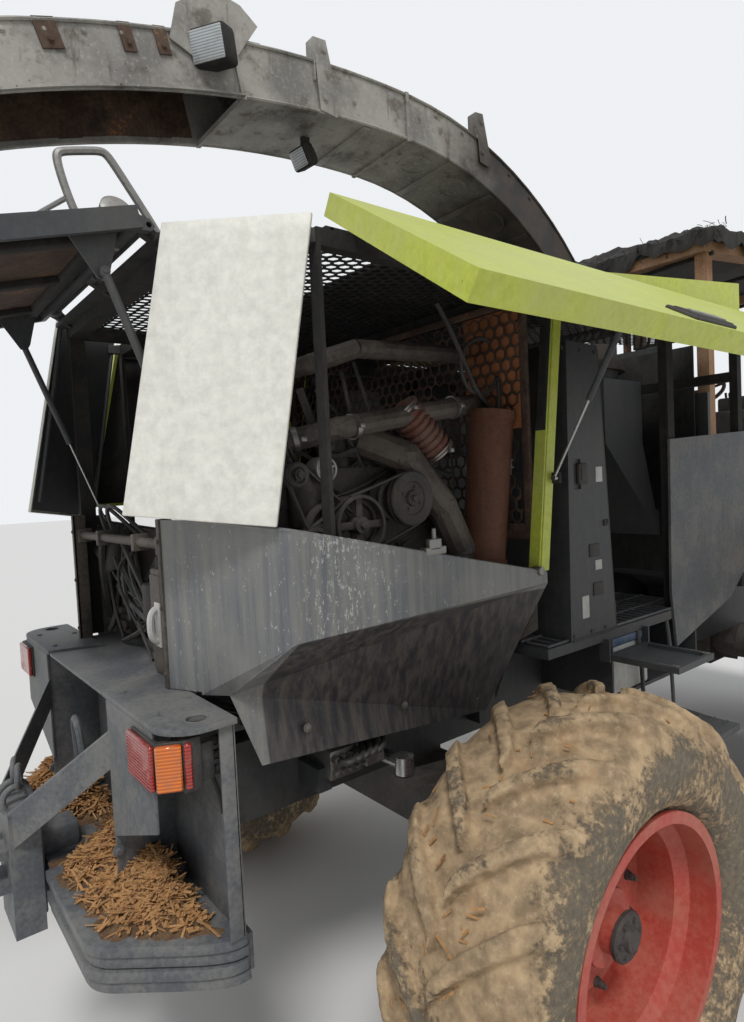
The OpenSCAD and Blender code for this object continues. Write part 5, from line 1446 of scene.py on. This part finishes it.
class LampsOperator(bpy.types.Operator):
    """Builds the tail lamps with red and amber lenses, the beacon and the bent handrails"""
    bl_idname = "harvester.lamps"
    bl_label = "Lamps"

    def execute(self, context):
        bodies, red, amber = bmesh.new(), bmesh.new(), bmesh.new()
        run = [Vector((625, -1208, 0)), Vector((800, -1208, 0)), Vector((832, -1148, 0)),
               Vector((836, -1126, 0))]
        plate(bodies, [at(p.x, p.y, 1398) for p in run] + [at(812, -1112, 1398), at(786, -1192, 1398),
                                                           at(625, -1200, 1398)], mm(0, 0, 126), 2)
        block(bodies, 798, 838, -1150, -1100, 1390, 1528, 6)
        for bm, first, second in ((red, run[0], run[1]), (amber, run[1], run[2]), (red, run[2], run[3])):
            along = (second - first).normalized()
            out = Vector((along.y, -along.x, 0))
            a, b = first + along * 2, second - along * 2
            corners = [at(a.x, a.y, 1402), at(b.x, b.y, 1402), at(b.x, b.y, 1520), at(a.x, a.y, 1520)]
            plate(bm, corners, out * 14 * MM, 4)
        for bm, name, slot, finish in ((bodies, "tail_lamp_bodies", "black_paint", "hose"),
                                       (red, "tail_lamp_red_lenses", "lens", "red_lens"),
                                       (amber, "tail_lamp_amber_lenses", "lens", "amber_lens")):
            mirrored(bm)
            piece = finish_piece(bm, name, MACHINE, finish)
            if finish == "hose":
                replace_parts(piece, "lamps")
        bm = bmesh.new()
        turned(bm, [(0, 0), (34, 0), (38, 8), (38, 62), (46, 70), (46, 92), (36, 98), (0, 98)],
               basis(at(346, -1090, 2948), (0, 1, 0), (0.93, 0, 0.42)), 32)
        bar(bm, at(392, -1088, 2878), at(392, -1088, 2950), 11, segments=14)
        finish_piece(bm, "beacon", MACHINE, "rail")
        bm = bmesh.new()
        for x in (300, -300):
            tube(bm, [at(x, y, z) for y, z in ((-900, 2880), (-900, 2950), (-905, 2970), (-1000, 3108),
                                               (-1055, 3188), (-1075, 3208), (-1110, 3200), (-1190, 3178),
                                               (-1212, 3168), (-1214, 3140), (-1190, 3050), (-1170, 3000))],
                                               13)
        tube(bm, [at(300, -1186, 3045), at(-300, -1206, 3160)], 8, smooth=False)
        piece = finish_piece(bm, "bent_handrails", MACHINE, "rail")
        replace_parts(piece, "handrails")
        bm = bmesh.new()
        block(bm, 792, 822, -1102, -1060, 1400, 1500, 4)
        for z in (1412, 1452, 1490):
            bar(bm, at(800, -1090, z), at(800, -1030, z), 13, segments=16, round_by=2)
        tube(bm, [at(790, -1060, 1400), at(780, -1030, 1340), at(760, -1010, 1250), at(700, -1000, 1200)], 6,
             sides=2)
        mirrored(bm)
        finish_piece(bm, "tail_lamp_brackets", MACHINE, "hose")
        return {"FINISHED"}


# Spout

def spout_at(deg, x, out):
    """A point on the spout's top plate at an angle from its peak, raised along its normal."""
    a = math.radians(deg)
    bend = SPOUT_REAR_R if deg <= 0 else SPOUT_FOOT_R
    radius = bend + out
    return at(x, SPOUT_PEAK_Y + radius * math.sin(a), SPOUT_PEAK_Z - bend + radius * math.cos(a))


def spout_frame(deg, x, out):
    """A frame on the spout: across, along and outward."""
    a = math.radians(deg)
    return basis(spout_at(deg, x, out), (0, math.cos(a), -math.sin(a)), (0, math.sin(a), math.cos(a)))


class SpoutOperator(bpy.types.Operator):
    """Adds edge flanges, straps, a lining, brackets, covers and lamps to the spout"""
    bl_idname = "harvester.spout"
    bl_label = "Spout"

    def execute(self, context):
        bm = bmesh.new()
        for side in (1, -1):
            for out in (-2, -SPOUT_DEPTH):
                stations = [k * 1.5 - 35.5 for k in range(24)] + [k * 4 + 1 for k in range(14)]
                tube(bm, [spout_at(d, side * SPOUT_HALF_W, out) for d in stations], 7, smooth=False, sides=2)
            for k in range(20):
                d = -34 + k * 1.6 if k < 12 else (k - 14) * 6.0
                if -11.5 < d < -10 or -0.5 < d < 0.5:
                    continue
                bolt(bm, spout_at(d, side * 201, -30), (side, 0, 0), 7, 6)
        finish_piece(bm, "spout_edges", "spout", "scorched")

        bm = bmesh.new()
        for d, wide in ((-30.5, 60), (-27.0, 60), (-19.5, 70), (-16.2, 46), (-14.6, 46)):
            slab(bm, spout_frame(d, 0, 3), (wide, 408, 6), 1.5, 1)
            for side in (1, -1):
                slab(bm, spout_frame(d, side * 204, -40), (wide, 5, 92), 1.5, 1)
                bolt(bm, spout_at(d, side * 206, -60), (side, 0, 0), 8, 7)
        finish_piece(bm, "spout_straps", "spout", "rust")
        bm = bmesh.new()
        inner = [k * 1.2 - 35.4 for k in range(21)]
        for d0, d1 in zip(inner, inner[1:]):
            low, high = spout_at(d0, 0, -13) - spout_at(d0, 0, 0), spout_at(d0, 0, 0)
            plate(bm, [spout_at(d0, -190, -13), spout_at(d1, -190, -13), spout_at(d1, 190, -13),
                       spout_at(d0, 190, -13)], low * 0.2, 0)
            ragged = 184 + 8 * noise.noise(Vector((d0, 0, 0)))
            for side in (1, -1):
                plate(bm, [spout_at(d0, side * 190, -13), spout_at(d1, side * 190, -13),
                           spout_at(d1, side * 190, -ragged), spout_at(d0, side * 190, -ragged)],
                           Vector((side * -0.003, 0, 0)), 0)
        finish_piece(bm, "spout_lining", "spout", "rust")

        bm = bmesh.new()
        for y0, y1, high, low in ((-198, -79, 3930, 3640), (749, 849, 3925, 3680)):
            side_plate = [at(207, y0, high), at(207, (y0 + y1) / 2, high + 6), at(207, y1, low + 30),
                          at(207, y1 - 20, low), at(207, y0 + 20, low + 10)]
            plate(bm, side_plate, mm(6, 0, 0), 1.5)
            block(bm, 160, 213, y0 - 4, y0 + 4, low + 120, high, 2)
            for z in (high - 40, low + 60):
                bolt(bm, at(213, (y0 + y1) / 2 - 14, z), (1, 0, 0), 11, 6)
        plate(bm, [at(206, y, z) for y, z in ((-800, 3700), (-690, 3660), (-560, 3700), (-450, 3870),
                                              (-520, 3920), (-640, 3935), (-770, 3830))], mm(5, 0, 0), 1)
        place = spout_frame(-10.6, 120, 0)
        slab(bm, place @ Matrix.Translation(mm(0, 0, 6)), (190, 160, 10), 3)
        slab(bm, place @ Matrix.Translation(mm(-50, -30, 90)), (170, 8, 170), 4)
        slab(bm, place @ Matrix.Translation(mm(36, 26, 66)), (10, 130, 120), 4)
        finish_piece(bm, "spout_brackets", "spout", "scorched")

        shells, lenses = bmesh.new(), bmesh.new()
        for point, aim, scale in (((236, -650, 3705), (0.55, -0.8, -0.25), 1.15),
                                  ((0, -132, 3560), (0.1, -0.9, -0.45), 0.8)):
            direction = Vector(aim).normalized()
            place = basis(at(*point), direction.cross(Vector((0, 0, 1))), direction)
            slab(shells, place, (128 * scale, 110 * scale, 78 * scale), 16 * scale, 3)
            slab(shells, place @ Matrix.Translation(mm(0, 0, -46 * scale)),
                 (84 * scale, 72 * scale, 40 * scale), 12 * scale, 2)
            slab(lenses, place @ Matrix.Translation(mm(0, 0, 39 * scale)),
                 (108 * scale, 90 * scale, 8 * scale), 3, 2)
        block(shells, -9, 9, -140, -100, 3560, 3668, 3)
        piece = finish_piece(shells, "spout_lamp_shells", "spout", "char")
        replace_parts(piece, "spout_lamps")
        finish_piece(lenses, "spout_lamp_lenses", "spout", "clear_lens")

        bm = bmesh.new()
        for d in (6, 16, 27, 38):
            place = spout_frame(d, 60, -200)
            turned(bm, [(0, 0), (62, 0), (70, -4), (78, -4), (80, 0), (0, 2)], place, 32)
        for d in (-3.0, 10.5, 21.5, 33):
            slab(bm, spout_frame(d, 0, -203), (34, 380, 8), 2)
        finish_piece(bm, "spout_covers", "spout", "scorched")
        return {"FINISHED"}


# Cab, platform and underside

class CabOperator(bpy.types.Operator):
    """Adds the charred roof lining and fibres, the seat springs, the steering wheel and the console"""
    bl_idname = "harvester.cab"
    bl_label = "Cab"

    def execute(self, context):
        bm = bmesh.new()
        made = bmesh.ops.create_grid(bm, x_segments=90, y_segments=90, size=0.5)
        for vert in made["verts"]:
            s, t = vert.co.x * 2, vert.co.y * 2
            half = 690 + 60 * (1 - t * t)
            x, y = s * half, 3040 + t * 840
            edge = min(1.0, (1 - max(abs(s), abs(t))) * 5)
            lump = noise.fractal(Vector((x * 0.006, y * 0.006, 2.0)), 0.8, 2.2, 6)
            big = noise.noise(Vector((x * 0.0022, y * 0.0022, 5.0)))
            fold = noise.noise(Vector((x * 0.012 + 3, y * 0.003, 9.0)))
            vert.co = at(x, y, 3520 + edge * (70 + 60 * big + 42 * abs(fold)) + 34 * lump)
        edges = [e for e in bm.edges if e.is_boundary]
        skirt = bmesh.ops.extrude_edge_only(bm, edges=edges)
        verts = verts_in(skirt["geom"])
        for vert in verts:
            drop = 92 + 60 * noise.noise(vert.co * 9)
            vert.co += mm(0, 0, -drop)
        bmesh.ops.recalc_face_normals(bm, faces=bm.faces)
        finish_piece(bm, "charred_roof_lining", MACHINE, "char", 70, normals=False)
        bm = bmesh.new()
        rng = random.Random(41)
        for n in range(260):
            t = rng.random()
            x = -740 + 1480 * rng.random()
            y = 2210 + 60 * rng.random()
            z = 3470 + 70 * rng.random()
            p = Vector((x, y, z))
            q = p + Vector((rng.uniform(-60, 60), rng.uniform(-60, 20), rng.uniform(-70, 40)))
            tube(bm, [at(*p), at(*(p.lerp(q, 0.5) + Vector((0, -14, 8)))), at(*q)], rng.uniform(1.2, 3.0),
                 sides=1)
        finish_piece(bm, "charred_fibres", MACHINE, "char", 60)
        bm = bmesh.new()
        centre = at(0, 3405, 2710)
        axis = Vector((0, -0.6, 0.8))
        torus(bm, centre, axis, 200, 14, 48, 12)
        for n in range(3):
            a = n * 2 * math.pi / 3 + 0.5
            x_axis = Vector((1, 0, 0))
            lift = (x_axis * math.cos(a) + axis.cross(x_axis) * math.sin(a)).normalized()
            bar(bm, centre, centre + lift * 195 * MM, 10, segments=12)
        bar(bm, centre - axis * 60 * MM, centre + axis * 10 * MM, 34, segments=24, round_by=4)
        for row in range(4):
            for column in range(4):
                x, y = -165 + column * 110, 2510 + row * 110
                points = []
                for k in range(33):
                    a = k * math.pi / 4
                    points.append(at(x + 30 * math.cos(a), y + 30 * math.sin(a), 2362 + k * 2.6))
                tube(bm, points, 3.5, sides=1)
        finish_piece(bm, "wheel_and_seat_springs", MACHINE, "rust")
        bm = bmesh.new()
        for side in (1, -1):
            for y in (2290, 3000, 3780):
                tube(bm, [at(side * 640, y, 3396), at(side * 200, y + 20, 3380), at(0, y, 3372)], 14, sides=2)
        block(bm, 250, 520, 3000, 3560, 2020, 2520, 20, 3)
        for x0, x1, z0, z1 in ((-620, 40, 1500, 2860), (214, 560, 1500, 2860), (40, 214, 1500, 2180),
                               (40, 214, 2640, 2860)):
            block(bm, x0, x1, 2176, 2190, z0, z1, 2)
        for n in range(13):
            block(bm, 36, 218, 2172, 2194, 2188 + n * 35, 2206 + n * 35, 2)
        block(bm, 280, 500, 3120, 3420, 2500, 2620, 18, 3)
        for n in range(6):
            bar(bm, at(320 + 30 * (n % 3), 3180 + 60 * (n // 3), 2610),
                at(320 + 30 * (n % 3), 3170 + 60 * (n // 3), 2660), 8, segments=12, round_by=2)
        finish_piece(bm, "cab_console", MACHINE, "char")
        return {"FINISHED"}


class PlatformOperator(bpy.types.Operator):
    """Adds the platform grating, the lower step, the battery and the lugs of the toolbox lid's stay"""
    bl_idname = "harvester.platform"
    bl_label = "Platform and steps"

    def execute(self, context):
        bm = bmesh.new()
        for n in range(24):
            y = 300 + n * 49
            block(bm, 470, 868, y, y + 12, 1480, 1486, 1.5, 1)
        for x in (470, 600, 735, 862):
            block(bm, x, x + 10, 290, 1460, 1480, 1490, 1.5, 1)
        mirrored(bm)
        finish_piece(bm, "platform_grating", MACHINE, "deck")
        bm = bmesh.new()
        block(bm, 905, 1190, 905, 1185, 1000, 1030, 6)
        for n in range(5):
            block(bm, 920 + n * 54, 930 + n * 54, 915, 1175, 1028, 1036, 2, 1)
        for y in (912, 1168):
            tube(bm, [at(880, y, 1440), at(896, y, 1300), at(905, y, 1040), at(1180, y, 1016)], 10,
                 smooth=False)
        finish_piece(bm, "lower_step", MACHINE, "dark")
        bm = bmesh.new()
        block(bm, 640, 872, 720, 1010, 1190, 1400, 12, 3)
        finish_piece(bm, "battery_case", MACHINE, "white")
        bm = bmesh.new()
        block(bm, 634, 880, 714, 1016, 1396, 1436, 10, 3)
        for y in (780, 950):
            bar(bm, at(760, y, 1434), at(760, y, 1452), 14, segments=16, round_by=2)
        finish_piece(bm, "battery_lid", MACHINE, "blue")
        bm = bmesh.new()
        for y in (672, 938):
            tube(bm, [at(1160, y, 1384), at(1100, y + 3, 1384)], 3, smooth=False, sides=2)
        for y in (680, 930):
            block(bm, 1150, 1180, y - 10, y + 10, 1382, 1387, 1.5)
        finish_piece(bm, "lid_stay_lugs", "toolbox_lid", "zinc")
        return {"FINISHED"}


class UndersideOperator(bpy.types.Operator):
    """Adds the steering valve, hoses, drive shaft and tank under the machine"""
    bl_idname = "harvester.underside"
    bl_label = "Underside"

    def execute(self, context):
        sizes = context.scene.harvester_sizes
        hose = sizes.hose_radius / MM
        bm = bmesh.new()
        block(bm, 470, 610, -560, -420, 1150, 1250, 8)
        block(bm, 500, 640, -430, -350, 1170, 1230, 6)
        for n in range(5):
            y = -545 + n * 30
            bar(bm, at(608, y, 1225), at(640, y, 1225), 14, segments=6, round_by=2)
            bar(bm, at(608, y, 1180), at(634, y, 1180), 11, segments=6, round_by=2)
        block(bm, 452, 476, -560, -350, 1150, 1250, 3)
        finish_piece(bm, "steering_valve", MACHINE, "zinc")
        bm = bmesh.new()
        rng = random.Random(53)
        for n in range(5):
            y = -545 + n * 30
            tube(bm, [at(640, y, 1225), at(690, y + 10, 1227), at(680, y + 60, 1234 + 6 * n),
                      at(520, y + 130, 1244), at(300, y + 190, 1236), at(120, y + 240, 1216)], hose, sides=2)
        for n in range(6):
            x = -300 + n * 110
            tube(bm, [at(x, -700, 1300), at(x + 30, -500, 1160 + 10 * n), at(x - 20, 0, 1190),
                      at(x + 40, 700, 1250), at(x, 1300, 1300)], rng.choice((hose, hose * 1.3, hose * 0.8)),
                      sides=2)
        finish_piece(bm, "underside_hoses", MACHINE, "hose")
        bm = bmesh.new()
        bar(bm, at(0, 300, 1180), at(0, 2700, 1010), 46, segments=28)
        for y, z in ((320, 1178), (2680, 1012)):
            bar(bm, at(0, y - 40, z + 3), at(0, y + 40, z - 3), 74, segments=28, round_by=8)
        block(bm, -330, 330, 900, 1560, 1330, 1560, 40, 4)
        finish_piece(bm, "drive_shaft_and_tank", MACHINE, "engine")
        return {"FINISHED"}


STEPS = (
    StageOperator, CarriedOperator, TyresOperator, HubsOperator, FlapsOperator, HatchOperator,
    CornersOperator,
    ScreensOperator, BandsOperator, PostsOperator, EngineOperator, RearOpeningOperator, DeckOperator,
    LampsOperator,
    SpoutOperator, CabOperator, PlatformOperator, UndersideOperator,
)


class HarvesterPanel(bpy.types.Panel):
    """Lists the steps that dress the harvester"""
    bl_idname = "HARVESTER_PT_steps"
    bl_label = "Burnt forage harvester"
    bl_space_type = "VIEW_3D"
    bl_region_type = "UI"
    bl_category = "Harvester"

    def draw(self, context):
        column = self.layout.column()
        for group in (context.scene.harvester_sizes, context.scene.harvester_colours):
            for key in group.bl_rna.properties.keys():
                if key not in ("rna_type", "name"):
                    column.prop(group, key)
        for step_class in STEPS:
            column.operator(step_class.bl_idname)


CLASSES = (HarvesterSizes, HarvesterColours) + STEPS + (HarvesterPanel,)


def register():
    for cls in CLASSES:
        bpy.utils.register_class(cls)
    bpy.types.Scene.harvester_sizes = PointerProperty(type=HarvesterSizes)
    bpy.types.Scene.harvester_colours = PointerProperty(type=HarvesterColours)


def unregister():
    del bpy.types.Scene.harvester_colours
    del bpy.types.Scene.harvester_sizes
    for cls in reversed(CLASSES):
        bpy.utils.unregister_class(cls)


def main():
    """Builds everything in order."""
    register()
    for step_class in STEPS:
        group, name = step_class.bl_idname.split(".")
        getattr(getattr(bpy.ops, group), name)()


if __name__ == "__main__":
    main()
